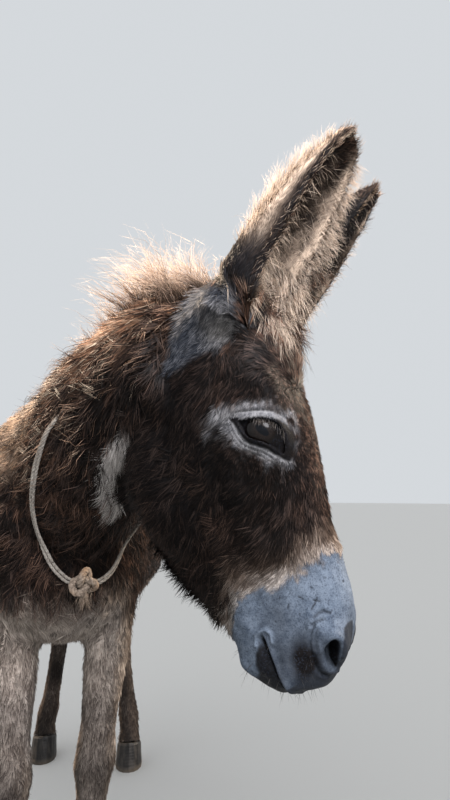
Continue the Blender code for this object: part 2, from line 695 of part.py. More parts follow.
def knot(body, rope):
    """A hitch of the same cord, which closes the collar under the throat."""
    tree = BVHTree.FromObject(body, bpy.context.evaluated_depsgraph_get())
    spot, out = tree.find_nearest(Vector(KNOT_AT))[:2]
    place = plane_frame(spot + out * (KNOT_CORD * 2 + 0.003), out)
    rings, steps, count = [], 44, 7
    for k in range(steps):
        a = 2 * math.pi * k / steps
        wave = Vector((math.sin(a) + 2 * math.sin(2 * a), math.cos(a) - 2 * math.cos(2 * a),
                       -1.0 * math.sin(3 * a)))
        rings.append(wave * (KNOT_RADIUS / 2))
    points = []
    for k, centre in enumerate(rings):
        tangent = (rings[(k + 1) % steps] - rings[k - 1]).normalized()
        across = tangent.cross(Vector((0, 0, 1))).normalized()
        upright = across.cross(tangent)
        for j in range(count):
            turn = 2 * math.pi * j / count
            points.append(place @ (centre + (across * math.cos(turn) + upright * math.sin(turn)) * KNOT_CORD))
    faces = [(r * count + k, r * count + (k + 1) % count,
              (r + 1) % steps * count + (k + 1) % count, (r + 1) % steps * count + k)
             for r in range(steps) for k in range(count)]
    made = object_of("rope_knot", mesh_of("rope_knot", points, faces), PARTS)
    fuse(made, 0.0022, 1, 300)
    boolean(made, grown("knot_seat", body, GAP), "DIFFERENCE")
    boolean(made, grown("knot_collar", rope, GAP), "DIFFERENCE")
    keep_largest(made)
    finish_piece(made, "rope")


# ---- assembly -------------------------------------------------------------------------------

def build():
    body = flesh()
    ears = [ear(name, side) for name, side in SIDES.items()]
    seat = grown("ear_seat", body, GAP)
    for made in ears:
        boolean(made, seat, "DIFFERENCE")
        keep_largest(made)
        finish_piece(made, "coat")
    hair = mane(body)
    rope = collar(body)
    boolean(hair, grown("mane_groove", rope, GAP), "DIFFERENCE")
    keep_largest(hair)
    knot(body, rope)
    for name, side in SIDES.items():
        for cutter in (eye(name, side), eye_opening(name, side), nostril(name, side)):
            boolean(body, cutter, "DIFFERENCE")
    part_head(body)
    part_limbs(body)
    tuft = object_of("tail_tuft", tail_mesh(TAIL_TUFT), PARTS)
    part_tail(body, tuft)
    keep_largest(body)
    finish_piece(body, "coat")


def part_head(body):
    """Cuts behind the ears and jaw, along the line of the lips, and at the base of the neck."""
    nape = HEAD @ plane_frame((-0.030, -0.006, 0), (0.665, 0.747, 0))
    head = part_off("head", body, (-0.30, -0.20, 0), (0.37, 0.20, 0.6), nape, "coat")
    lips = HEAD @ plane_frame((-0.040, 0.468, 0), (-0.976, 0.215, 0))
    part_off("lower_jaw", head, (-0.05, -0.15, 0), (0.50, 0.15, 0.3), lips, "coat_pale")
    base = plane_frame((0.010, -0.340, 0.80), (0.22, -0.90, 0.37))
    part_off("neck", body, (-0.30, -0.30, 0), (0.30, 0.30, 0.7), base, "coat")


def part_limbs(body):
    """Cuts each leg off below the trunk, at the knee or hock, and over its hoof."""
    for name, side in SIDES.items():
        for limb, foot, fore_edge, hind_edge, joint, back in (
                ("foreleg_", FORE_FEET[name], -0.46, -0.12, 0.300, -0.020),
                ("hindleg_", HIND_FEET[name], 0.27, 0.70, 0.400, -0.026)):
            inner, outer = sorted((side * GAP, side * 0.30))
            leg = part_off(limb + name, body, (inner, fore_edge, -0.05), (outer, hind_edge, LEG_CUT),
                           Matrix(), "coat_pale")
            crown = hoof_top(foot, back)
            boolean(leg, block("crown_" + limb + name, (-0.1, -0.1, -0.2), (0.1, 0.1, GAP), crown),
                    "DIFFERENCE")
            keep_largest(leg)
            part_off("shin_" + limb + name, leg, (inner, fore_edge, -0.05), (outer, hind_edge, joint),
                     Matrix(), "coat_pale")
            hoof("hoof_" + limb + name, foot, back)


def part_tail(body, tuft):
    dock = part_off("tail_dock", body, (-0.05, 0.600, 0.45), (0.05, 0.75, 0.97), Matrix(), "coat")
    end = Matrix.Translation((0, 0.634, 0.575))
    boolean(dock, block("dock_end", (-0.1, -0.1, -0.2), (0.1, 0.1, GAP), end), "DIFFERENCE")
    boolean(tuft, block("tuft_top", (-0.1, -0.1, 0), (0.1, 0.1, 0.2), end), "DIFFERENCE")
    keep_largest(dock)
    finish_piece(tuft, "coat_dark")


def centre_on_floor():
    """Moves every node so that the origin is under the middle of the whole bounding box."""
    corners = [obj.matrix_world @ v.co for obj in PARTS.objects for v in obj.data.vertices]
    low = [min(c[k] for c in corners) for k in range(3)]
    high = [max(c[k] for c in corners) for k in range(3)]
    shift = Matrix.Translation((-(low[0] + high[0]) / 2, -(low[1] + high[1]) / 2, -low[2]))
    for obj in PARTS.objects:
        obj.data.transform(shift)


clear_scene()
PARTS = bpy.data.collections.new("donkey")
CUTTERS = bpy.data.collections.new("cutters")
for group in (PARTS, CUTTERS):
    bpy.context.scene.collection.children.link(group)
build()
centre_on_floor()
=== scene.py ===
"""The looks of a life-size donkey: one skin, its coat, eyes, hooves and rope collar.

Metres, +Z up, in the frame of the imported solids. The head has axes of its own, with their origin on
the poll: along, from the poll to the muzzle; front, out of the forehead; and left, the donkey's own
left. The camera looks at the donkey's right side.
"""

import json
import math

import bmesh
import bpy
import numpy as np
from mathutils import Matrix, Vector
from mathutils.bvhtree import BVHTree
from mathutils.kdtree import KDTree

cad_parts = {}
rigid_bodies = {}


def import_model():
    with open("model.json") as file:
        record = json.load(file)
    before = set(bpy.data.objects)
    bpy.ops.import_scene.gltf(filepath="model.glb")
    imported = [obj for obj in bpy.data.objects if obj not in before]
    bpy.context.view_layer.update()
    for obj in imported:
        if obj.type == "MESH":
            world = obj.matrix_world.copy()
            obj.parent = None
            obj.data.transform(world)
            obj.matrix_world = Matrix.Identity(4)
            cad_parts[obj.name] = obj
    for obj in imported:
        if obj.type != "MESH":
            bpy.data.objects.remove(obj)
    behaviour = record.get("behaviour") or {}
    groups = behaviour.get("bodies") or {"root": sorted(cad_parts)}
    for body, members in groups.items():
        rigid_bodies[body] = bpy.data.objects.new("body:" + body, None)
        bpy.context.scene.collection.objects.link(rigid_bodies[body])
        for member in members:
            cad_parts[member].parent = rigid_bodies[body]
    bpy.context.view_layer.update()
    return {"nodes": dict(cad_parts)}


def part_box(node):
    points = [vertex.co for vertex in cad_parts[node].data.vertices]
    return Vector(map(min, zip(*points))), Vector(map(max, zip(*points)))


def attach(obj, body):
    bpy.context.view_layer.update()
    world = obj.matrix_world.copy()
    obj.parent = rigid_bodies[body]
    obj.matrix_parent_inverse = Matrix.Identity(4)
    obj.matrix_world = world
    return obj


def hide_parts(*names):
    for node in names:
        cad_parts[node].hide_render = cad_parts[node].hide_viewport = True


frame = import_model()

CM = 0.01
SIDES = {"left": 1.0, "right": -1.0}

# ---- where the donkey's parts are -------------------------------------------------------------

HEAD_TURN = math.radians(60.5)            # heading of the face, from -Y towards +X
HEAD_DROP = math.radians(12.8)            # long axis of the head, from straight down
UP = np.array((0.0, 0.0, 1.0))
FACING = np.array((math.sin(HEAD_TURN), -math.cos(HEAD_TURN), 0.0))
ALONG = math.sin(HEAD_DROP) * FACING - math.cos(HEAD_DROP) * UP
FRONT = math.cos(HEAD_DROP) * FACING + math.sin(HEAD_DROP) * UP
LEFT = np.cross(FRONT, ALONG)

EYE_AT = (0.186, 0.011, 0.0715)           # along, front, left
EYE_RADIUS = 0.0215
CORNEA = 0.0011                           # how far the clear front of the eye stands out
eye_low, eye_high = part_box("eye_left")
POLL = (np.array(eye_low + eye_high) / 2 - ALONG * EYE_AT[0] - FRONT * EYE_AT[1] - LEFT * EYE_AT[2])
BODY_AT = POLL - np.array((0.2454, -0.6958, 1.030))   # the body's middle line at the withers, on the floor


def on_head(along, front, left):
    """A place given in the head's own axes."""
    return POLL + ALONG * along + FRONT * front + LEFT * left


def head_axes(points):
    """Columns along, front and left of points in the head's own axes."""
    near = points - POLL
    return near @ ALONG, near @ FRONT, near @ LEFT


def body_axes(points):
    """Columns left, back and height of points, from the floor under the body."""
    near = points - BODY_AT
    return near[:, 0], near[:, 1], near[:, 2]


def placed(name, data):
    """A new object of the scene."""
    obj = bpy.data.objects.new(name, data)
    bpy.context.scene.collection.objects.link(obj)
    return obj


# ---- small tools for arrays -------------------------------------------------------------------

def step(low, high, values):
    """0 below `low`, 1 above `high`, with an eased rise between; `high` may be under `low`."""
    share = np.clip((values - low) / (high - low), 0.0, 1.0)
    return share * share * (3.0 - 2.0 * share)


def hump(values, middle, width):
    """1 at `middle`, falling away smoothly on both sides."""
    return np.exp(-((values - middle) / width) ** 2)


def unit(vectors):
    """The vectors at length 1."""
    return vectors / np.maximum(np.linalg.norm(vectors, axis=-1, keepdims=True), 1e-9)


def flat_to(normals, vectors):
    """Vectors laid into the surface that has these normals, at unit length."""
    return unit(vectors - normals * np.sum(vectors * normals, axis=1, keepdims=True))


LATTICE = np.random.default_rng(11).random((24, 24, 24))


def clouds(points, size, shift=0.0):
    """Soft noise from -1 to 1, with lumps about `size` across."""
    spot = points / size + 200.0 + shift
    cell = np.floor(spot).astype(int)
    part = spot - cell
    part = part * part * (3.0 - 2.0 * part)
    total = np.zeros(len(points))
    for x in (0, 1):
        for y in (0, 1):
            for z in (0, 1):
                share = np.prod(np.where((x, y, z), part, 1.0 - part), axis=1)
                corner = (cell + (x, y, z)) % 24
                total += share * LATTICE[corner[:, 0], corner[:, 1], corner[:, 2]]
    return total * 2.0 - 1.0


def edge_distance(along, front, outline, closed=True):
    """Distance from the outline, below 0 inside a closed one, and the direction away from it."""
    spots = np.stack((along, front), axis=1)
    nearest = np.full(len(spots), 1e9)
    away = np.zeros_like(spots)
    inside = np.zeros(len(spots), bool)
    outline = np.array(outline, float)
    ends = np.roll(outline, -1, axis=0)
    for start, end in list(zip(outline, ends))[:None if closed else -1]:
        run = end - start
        share = np.clip((spots - start) @ run / (run @ run), 0.0, 1.0)
        gap = spots - (start + share[:, None] * run)
        distance = np.linalg.norm(gap, axis=1)
        closer = distance < nearest
        nearest[closer] = distance[closer]
        away[closer] = gap[closer]
        crosses = (start[1] > spots[:, 1]) != (end[1] > spots[:, 1])
        with np.errstate(divide="ignore", invalid="ignore"):
            meets = start[0] + (spots[:, 1] - start[1]) * run[0] / run[1]
        inside ^= crosses & (spots[:, 0] < meets)
    sign = np.where(inside & closed, -1.0, 1.0)
    return nearest * sign, unit(away) * sign[:, None]


def rounded(points, steps=4):
    """A closed outline with Catmull-Rom points between the given ones."""
    points = np.array(points, float)
    rows = []
    for a, b, c, d in zip(np.roll(points, 1, 0), points, np.roll(points, -1, 0), np.roll(points, -2, 0)):
        for k in range(steps):
            t = k / steps
            rows.append(0.5 * (2 * b + (c - a) * t + (2 * a - 5 * b + 4 * c - d) * t * t
                               + (3 * b - a - 3 * c + d) * t ** 3))
    return np.array(rows)


# ---- shader nodes -----------------------------------------------------------------------------

class Flow:
    """A number from a node, with arithmetic that adds Math nodes."""

    def __init__(self, finish, socket):
        self.finish = finish
        self.socket = socket

    def math(self, operation, *values):
        return self.finish.node("ShaderNodeMath", {"operation": operation}, values)

    def __add__(self, other):
        return self.math("ADD", self, other)

    def __sub__(self, other):
        return self.math("SUBTRACT", self, other)

    def __rsub__(self, other):
        return self.math("SUBTRACT", other, self)

    def __mul__(self, other):
        return self.math("MULTIPLY", self, other)

    def __truediv__(self, other):
        return self.math("DIVIDE", self, other)

    def __pow__(self, other):
        return self.math("POWER", self, other)

    __radd__ = __add__
    __rmul__ = __mul__

    def rise(self, low, high):
        """0 at `low` and 1 at `high`, eased between them."""
        return self.finish.node("ShaderNodeMapRange", {"interpolation_type": "SMOOTHSTEP"},
                                {"Value": self, "From Min": low, "From Max": high})


class Finish:
    """A material and the nodes that it is made of."""

    def __init__(self, name, **constants):
        self.material = bpy.data.materials.new(name)
        self.material.use_nodes = True
        self.tree = self.material.node_tree
        self.shader = self.tree.nodes["Principled BSDF"]
        for socket, value in constants.items():
            self.shader.inputs[socket.replace("_", " ")].default_value = value

    def node(self, kind, settings=None, values=(), output=0):
        """A node of this kind. Settings come first, then values or links by place or by name."""
        made = self.tree.nodes.new(kind)
        for setting, value in (settings or {}).items():
            setattr(made, setting, value)
        pairs = values.items() if isinstance(values, dict) else enumerate(values)
        for place, value in pairs:
            if isinstance(value, Flow):
                self.tree.links.new(value.socket, made.inputs[place])
            else:
                made.inputs[place].default_value = value
        return Flow(self, made.outputs[output])

    def attribute(self, name):
        return self.node("ShaderNodeAttribute", {"attribute_name": name}, output=2)

    def mix(self, share, first, second):
        """A colour between two, each a colour or a link."""
        values = {0: share}
        for place, colour in ((6, first), (7, second)):
            values[place] = colour if isinstance(colour, Flow) else (*colour, 1.0)
        return self.node("ShaderNodeMix", {"data_type": "RGBA"}, values, 2)

    def place(self):
        return self.node("ShaderNodeTexCoord", output=3)

    def noise(self, scale, detail=2.0, stretch=None):
        """Noise in the object's own space, at `scale` lumps to a metre."""
        where = self.place()
        if stretch:
            where = self.node("ShaderNodeVectorMath", {"operation": "MULTIPLY"}, (where, stretch))
        return self.node("ShaderNodeTexNoise", None, {"Vector": where, "Scale": scale, "Detail": detail})

    def bump(self, height, strength, distance):
        normal = self.node("ShaderNodeBump", None,
                           {"Strength": strength, "Distance": distance, "Height": height})
        self.to("Normal", normal)

    def to(self, socket, value):
        self.tree.links.new(value.socket, self.shader.inputs[socket])


# ---- camera, floor and light ------------------------------------------------------------------

CAMERA_AT = np.array((0.1207, -1.339, 0.79))
CAMERA_TURN = math.radians(9.5)
CAMERA_LIFT = math.radians(9.5)
CAMERA_LENS = 23.85


def set_camera():
    """The camera in front of the donkey, looking slightly up."""
    ahead = np.array((math.sin(CAMERA_TURN), math.cos(CAMERA_TURN), 0.0))
    across = np.array((math.cos(CAMERA_TURN), -math.sin(CAMERA_TURN), 0.0))
    aim = ahead * math.cos(CAMERA_LIFT) + UP * math.sin(CAMERA_LIFT)
    above = UP * math.cos(CAMERA_LIFT) - ahead * math.sin(CAMERA_LIFT)
    camera = placed("camera", bpy.data.cameras.new("camera"))
    camera.data.sensor_width = 36.0
    camera.data.lens = CAMERA_LENS
    camera.data.clip_start = 0.02
    turn = Matrix((across, above, -aim)).transposed().to_4x4()
    camera.matrix_world = Matrix.Translation(Vector(BODY_AT + CAMERA_AT)) @ turn
    bpy.context.scene.camera = camera


def soft_light(name, place, aim, size, power, colour, spared):
    """A round lamp at one place, pointed at another, that leaves the spared things dark."""
    lamp = bpy.data.lights.new(name, "AREA")
    lamp.shape = "DISK"
    lamp.size = size
    lamp.energy = power
    lamp.color = colour
    made = placed(name, lamp)
    made.visible_camera = False
    place = Vector(BODY_AT) + Vector(place)
    aim = Vector(BODY_AT) + Vector(aim)
    turn = (place - aim).to_track_quat("Z", "Y").to_matrix().to_4x4()
    made.matrix_world = Matrix.Translation(place) @ turn
    made.light_linking.receiver_collection = spared


def set_studio():
    """A sun high behind the donkey, open shade over its face, and a pale floor."""
    bpy.context.scene.view_settings.view_transform = "Standard"
    world = bpy.data.worlds.new("studio")
    world.use_nodes = True
    backdrop = world.node_tree.nodes["Background"]
    backdrop.inputs["Color"].default_value = (0.92, 0.96, 1.0, 1.0)
    backdrop.inputs["Strength"].default_value = 0.72
    bpy.context.scene.world = world
    mesh = bpy.data.meshes.new("floor")
    work = bmesh.new()
    bmesh.ops.create_circle(work, cap_ends=True, segments=96, radius=30.0)
    work.to_mesh(mesh)
    work.free()
    floor = placed("floor", mesh)
    pale = Finish("floor", Base_Color=(0.80, 0.78, 0.75, 1.0), Roughness=0.9)
    mesh.materials.append(pale.material)
    # the lamps light the donkey and spare the floor
    spared = bpy.data.collections.new("spared_by_lamps")
    spared.objects.link(floor)
    spared.collection_objects[0].light_linking.link_state = "EXCLUDE"
    soft_light("sun_side", (-3.2, 2.8, 4.6), (0.05, -0.45, 0.95), 0.9, 1600.0, (1.0, 0.80, 0.60), spared)
    soft_light("rim_side", (2.7, 0.2, 2.3), (0.2, -0.7, 1.0), 0.8, 140.0, (1.0, 0.84, 0.66), spared)
    soft_light("face_side", (0.7, -3.0, 2.5), (0.2, -0.7, 0.95), 2.0, 175.0, (0.96, 0.96, 1.0), spared)


# ---- the skin ---------------------------------------------------------------------------------

LEGS = [kind + "_" + side for kind in ("foreleg", "shin_foreleg", "hindleg", "shin_hindleg")
        for side in SIDES]
FLESH = ["trunk", "neck", "head", "lower_jaw", "tail_dock", "ear_left", "ear_right"] + LEGS
SKIN_VOXEL = 0.005
KEPT_FACES = 0.292                        # share of the fused skin's faces that are kept
OVERLAP = 0.0006                          # how far each solid grows into the next
EYE_SOCKET = (0.026, 0.027, 0.0252)       # half sizes of the flesh that shuts each eye

# the eye's opening and the dark margin round it: places along and above the line through its
# corners, which slants down the face, in centimetres from the middle of the eyeball
EYE_SLANT = math.radians(39)
EYE_OPENING = [(-2.5, -0.55), (-1.5, 0.35), (-0.5, 1.15), (0.5, 1.70), (1.5, 1.65), (2.4, 0.95),
               (3.3, -0.55), (2.4, -0.65), (1.2, -0.80), (0.3, -1.15), (-0.6, -1.35), (-1.7, -1.10)]
EYE_MARGIN = [(-3.75, -0.80), (-2.05, -0.05), (-0.75, 1.05), (0.8, 2.05), (2.35, 1.85), (3.25, 0.90),
              (4.05, -0.75), (3.15, -1.05), (1.9, -1.05), (0.7, -1.45), (-0.4, -1.70), (-2.15, -1.30)]
# the outlines from here to the hairline: along and front, in centimetres from the poll
EYE_RING = [(14.4, -4.2), (14.2, -2.5), (15.3, 0.9), (16.3, 3.9), (18.5, 4.6), (21.2, 3.8), (23.0, 2.4),
            (22.2, 0.2), (19.8, -2.0), (17.2, -4.0)]
NOSTRIL = [(40.7, 2.9), (41.3, 3.2), (42.1, 2.9), (43.0, 2.5), (44.0, 1.9), (44.2, 1.5), (43.5, 1.2),
           (42.6, 1.05), (41.7, 1.3), (41.0, 2.0)]
MOUTH_ALONG = [0.380, 0.395, 0.408, 0.421, 0.436, 0.453, 0.470]
MOUTH_FRONT = [-0.0500, -0.0480, -0.0460, -0.0430, -0.0400, -0.0360, -0.0320]
# dark wing over the nostril, and painted shade along the lower edge of the upper lip
WING = [(39.9, 4.0), (40.8, 3.7), (41.8, 3.3), (42.9, 2.6), (44.3, 1.6), (45.5, 2.5), (44.0, 5.0),
        (41.0, 6.0), (39.7, 5.6)]
UPPER_LIP_SHADE = [(44.5, -3.1), (44.2, -1.6), (43.7, -0.6), (43.4, 0.3), (43.9, 1.2), (44.4, 1.7), (46.5, 1.8),
            (47.5, 0.0), (47.5, -3.6), (45.2, -3.6)]
# creases that bend round the nostrils, and the ridge round each corner of the mouth
CREASES = [[(39.1, 1.1), (39.9, 0.5), (40.7, 0.2), (41.6, 0.05), (42.3, 0.15), (43.0, 0.1), (43.9, 0.2),
            (44.4, 0.5)],
           [(38.4, 1.2), (38.1, 1.7), (38.0, 2.2), (38.3, 2.8)],
           [(39.1, 0.8), (38.8, 1.2), (38.75, 1.9)],
           [(39.6, 1.3), (40.4, 0.75), (41.3, 0.6)]]
MOUTH_RIDGE = [(40.4, -5.9), (39.4, -5.6), (38.9, -4.9), (38.8, -4.2), (39.3, -3.7), (40.1, -3.8)]
# small old scars and pits of the bare skin
NICKS = [[(36.1, 0.1), (36.4, 0.5)], [(36.6, 1.9), (37.1, 1.6), (37.6, 1.1)], [(37.0, 2.1), (36.75, 1.55)],
         [(38.15, -2.95), (38.25, -2.85)], [(36.7, -1.1), (37.1, -1.3)], [(35.5, 1.6), (35.55, 1.65)],
         [(34.85, 3.2), (34.95, 3.2)], [(35.7, 4.6), (35.8, 4.6)], [(37.8, -0.2), (37.85, -0.15)],
         [(35.8, -1.8), (36.0, -1.9)], [(33.0, 3.1), (33.3, 3.1)], [(43.2, -8.2), (43.3, -8.1)],
         [(41.6, -8.5), (41.7, -8.45)]]
# where hair gives way to the bare muzzle, in metres
HAIRLINE_FRONT = [-0.120, -0.098, -0.083, -0.076, -0.066, -0.051,
                  -0.031, -0.012, 0.004, 0.019, 0.033, 0.050]
HAIRLINE_ALONG = [0.405, 0.400, 0.383, 0.366, 0.352, 0.347,
                  0.347, 0.344, 0.339, 0.332, 0.327, 0.326]
# grey patch on the root of each ear
ROOT_PATCH = [(-1.5, -4.5), (-1.0, -1.5), (0.8, 0.4), (2.4, 1.3), (4.2, 2.2), (6.2, 2.3), (7.2, 0.0),
              (7.8, -1.6), (8.0, -3.6), (8.6, -6.0), (8.6, -9.0), (6.5, -8.4), (3.5, -7.2), (1.0, -6.2)]
# pale hair on the throat behind each jowl: along, front and left, in centimetres
THROAT_STREAK = [(11.8, -15.6, -5.2), (14.3, -18.2, -3.7), (16.3, -21.4, -1.8), (18.4, -23.3, -0.2),
                 (20.6, -24.4, 3.0), (22.5, -25.5, 6.0)]


def eye_outline(points):
    """An outline round the eye, turned from the line through its corners to along and front."""
    points = np.array(points) * CM
    cos, sin = math.cos(EYE_SLANT), math.sin(EYE_SLANT)
    return np.stack((EYE_AT[0] + points[:, 0] * cos - points[:, 1] * sin,
                     EYE_AT[1] + points[:, 0] * sin + points[:, 1] * cos), axis=1)


OPENING = rounded(eye_outline(EYE_OPENING))
MARGIN = rounded(eye_outline(EYE_MARGIN))
RING = rounded(np.array(EYE_RING) * CM)
NOSTRIL = rounded(np.array(NOSTRIL) * CM)
WING = rounded(np.array(WING) * CM)
UPPER_LIP_SHADE = rounded(np.array(UPPER_LIP_SHADE) * CM)
ROOT_PATCH = rounded(np.array(ROOT_PATCH) * CM)


def past_hairline(along, front):
    """How far a point lies below the edge of the hair on the muzzle."""
    return along - np.interp(front, HAIRLINE_FRONT, HAIRLINE_ALONG)


def crease_share(along, front, lines, width):
    """1 on these lines, which are in centimetres, and 0 away from them."""
    total = np.zeros(len(along))
    for line in lines:
        gap, _ = edge_distance(along, front, np.array(line) * CM, closed=False)
        total = np.maximum(total, hump(gap, 0.0, width))
    return total


def head_share(points):
    """1 on the head, 0 behind the ears and the jaw."""
    along, front, left = head_axes(points)
    ahead = (front + 0.030) * 0.665 + (along + 0.006) * 0.747
    near = step(0.16, 0.14, abs(left)) * step(0.52, 0.50, along) * step(-0.235, -0.215, front)
    return step(-0.012, 0.020, ahead) * near


class Ear:
    """The cup of one ear, from the same sections as its solid."""

    # share of the length, half width, and how far the cup wraps round from its back in degrees
    SECTIONS = np.array([
        (-0.02, 0.044, 165), (0.10, 0.0450, 140), (0.25, 0.0450, 120), (0.42, 0.0460, 112),
        (0.58, 0.0450, 103), (0.74, 0.0400, 92), (0.86, 0.0340, 80), (0.95, 0.0240, 70), (1.00, 0.012, 56)])
    ROOT = (0.028, -0.011, 0.052)
    TIPS = {"left": (-0.106, 0.215, 0.052), "right": (-0.133, 0.214, 0.050)}
    OPENS = {"left": math.radians(6), "right": math.radians(8)}
    LENGTH = 0.2562

    def __init__(self, name):
        side = SIDES[name]
        self.root = on_head(self.ROOT[0], self.ROOT[1], side * self.ROOT[2])
        along, front, left = self.TIPS[name]
        self.axis = unit(on_head(along, front, side * left) - self.root)
        faceward = FRONT + ALONG
        faceward = unit(faceward - self.axis * (faceward @ self.axis))
        outward = LEFT * side
        outward = unit(outward - self.axis * (outward @ self.axis) - faceward * (outward @ faceward))
        self.opening = faceward * math.cos(self.OPENS[name]) + outward * math.sin(self.OPENS[name])
        self.across = np.cross(self.axis, self.opening)
        if self.across @ outward < 0:
            self.across = -self.across

    def place(self, points):
        """Share of the ear's length, turn round the cup from its back, and depth inside the wall's
        middle. A turn of 1 is the outer edge and -1 the inner edge."""
        near = points - self.root
        share = near @ self.axis / self.LENGTH
        half = np.interp(share, self.SECTIONS[:, 0], self.SECTIONS[:, 1])
        spread = np.radians(np.interp(share, self.SECTIONS[:, 0], self.SECTIONS[:, 2]))
        radius = half / np.sin(np.minimum(spread, math.pi / 2))
        bow = 0.010 * np.sin(math.pi * np.clip(share, 0, 1))
        out = near @ self.opening - (radius * 0.55 - bow)
        wide = near @ self.across
        return share, np.arctan2(wide, -out) / spread, radius - np.hypot(out, wide)

    def around(self, share, turn):
        """Ways out of the cup's back and on round its wall, at these places."""
        angle = np.radians(np.interp(share, self.SECTIONS[:, 0], self.SECTIONS[:, 2])) * turn
        cos, sin = np.cos(angle)[:, None], np.sin(angle)[:, None]
        return self.across * sin - self.opening * cos, self.across * cos + self.opening * sin


EARS = {name: Ear(name) for name in SIDES}


def coat_depth(points, ear):
    """How far the skin lies under the tips of the coat."""
    along, front, _ = head_axes(points)
    head = head_share(points)
    on_face = 0.0045 + 0.004 * step(0.10, 0.02, along) * step(-0.02, 0.02, front)
    on_face = on_face + 0.004 * step(-0.06, -0.12, front)
    muzzle = step(-0.020, 0.004, past_hairline(along, front))
    on_face = on_face * (1.0 - muzzle) + 0.0006 * muzzle
    eye_gap = np.hypot(along - EYE_AT[0], front - EYE_AT[1])
    on_face = on_face * step(0.022, 0.055, eye_gap) + 0.0006
    _, back, height = body_axes(points)
    shaggy = step(-0.15, -0.32, back) * step(0.60, 0.70, height)
    on_body = 0.010 - 0.0065 * step(0.56, 0.44, height) + 0.004 * shaggy
    depth = on_face * head + on_body * (1.0 - head)
    return depth * (1.0 - ear) + 0.0032 * ear


def evaluated(obj):
    """The object's mesh with its modifiers applied."""
    bpy.context.view_layer.update()
    return bpy.data.meshes.new_from_object(obj.evaluated_get(bpy.context.evaluated_depsgraph_get()))


def vertex_array(mesh):
    """The places of a mesh's vertices, one row each."""
    spots = np.empty(len(mesh.vertices) * 3, np.float32)
    mesh.vertices.foreach_get("co", spots)
    return spots.reshape(-1, 3).astype(float)


def normal_array(mesh):
    """The normals of a mesh's vertices, one row each."""
    normals = np.empty(len(mesh.vertices) * 3, np.float32)
    mesh.vertex_normals.foreach_get("vector", normals)
    return normals.reshape(-1, 3).astype(float)


def put_vertices(mesh, spots):
    mesh.vertices.foreach_set("co", spots.astype(np.float32).ravel())
    mesh.update()


def gathered_flesh():
    """All the flesh in one mesh, each solid grown until it meets the next, with its lids shut."""
    work = bmesh.new()
    for name in FLESH:
        part = bmesh.new()
        part.from_mesh(frame["nodes"][name].data)
        bmesh.ops.remove_doubles(part, verts=part.verts, dist=0.00002)
        part.normal_update()
        for vert in part.verts:
            vert.co += vert.normal * OVERLAP
        mesh = bpy.data.meshes.new("flesh")
        part.to_mesh(mesh)
        part.free()
        work.from_mesh(mesh)
        bpy.data.meshes.remove(mesh)
    for side in SIDES.values():
        centre = Vector(on_head(EYE_AT[0], EYE_AT[1], side * EYE_AT[2]))
        axes = Matrix((FRONT, ALONG, LEFT)).transposed().to_4x4()
        place = Matrix.Translation(centre) @ axes @ Matrix.Diagonal((*EYE_SOCKET, 1))
        bmesh.ops.create_uvsphere(work, u_segments=24, v_segments=16, radius=1, matrix=place)
    mesh = bpy.data.meshes.new("skin")
    work.to_mesh(mesh)
    work.free()
    return mesh


def ear_share(points):
    """1 on the free part of either ear, 0 on the rest of the body."""
    total = np.zeros(len(points))
    for ear in EARS.values():
        share, _, depth = ear.place(points)
        near = step(0.030, 0.012, abs(depth)) * step(0.08, 0.16, share) * step(1.25, 1.15, share)
        total = np.maximum(total, near)
    return total


def remeshed_flesh():
    """The flesh fused into one skin and eased, then thinned out, least on the head and the ears."""
    body = placed("skin", gathered_flesh())
    fuse = body.modifiers.new("fuse", "REMESH")
    fuse.mode = "VOXEL"
    fuse.voxel_size = SKIN_VOXEL
    relax = body.modifiers.new("relax", "SMOOTH")
    relax.factor = 0.5
    relax.iterations = 5
    body.data = evaluated(body)
    body.modifiers.clear()
    spots = vertex_array(body.data)
    keep = np.maximum(head_share(spots), ear_share(spots))
    group = body.vertex_groups.new(name="keep")
    for level in (0.0, 0.25, 0.5, 0.75, 1.0):
        chosen = np.nonzero(abs(keep - level) <= 0.1251)[0]
        group.add([int(index) for index in chosen], level, "REPLACE")
    thin = body.modifiers.new("thin", "DECIMATE")
    thin.ratio = KEPT_FACES
    thin.vertex_group = "keep"
    thin.invert_vertex_group = True
    thin.vertex_group_factor = 10.0
    body.data = evaluated(body)
    body.modifiers.clear()
    body.vertex_groups.clear()
    return body


def refine(mesh, region, relaxing):
    """Splits each edge of the faces in the region in two, and relaxes what was split."""
    work = bmesh.new()
    work.from_mesh(mesh)
    spots = np.array([face.calc_center_median() for face in work.faces])
    picked = np.nonzero(region(spots))[0]
    work.faces.ensure_lookup_table()
    edges = list({edge for index in picked for edge in work.faces[int(index)].edges})
    bmesh.ops.subdivide_edges(work, edges=edges, cuts=1, use_grid_fill=True)
    inner = np.array([vert.co for vert in work.verts])
    verts = [vert for vert, wanted in zip(work.verts, region(inner)) if wanted]
    for _ in range(relaxing):
        bmesh.ops.smooth_vert(work, verts=verts, factor=0.5, use_axis_x=True, use_axis_y=True,
                              use_axis_z=True)
    work.to_mesh(mesh)
    work.free()


def muzzle_region(points):
    """Where the skin is refined for the lips and nostrils."""
    along, front, left = head_axes(points)
    return (along > 0.335) & (along < 0.48) & (front > -0.12) & (front < 0.08) & (abs(left) < 0.08)


def eye_region(points, reach):
    """Where the skin is refined for the lids, out to `reach` from the eye."""
    along, front, left = head_axes(points)
    near = np.hypot(along - EYE_AT[0] - 0.004, front - EYE_AT[1] - 0.002)
    return (near < reach) & (abs(left) > 0.055) & (abs(left) < 0.12)


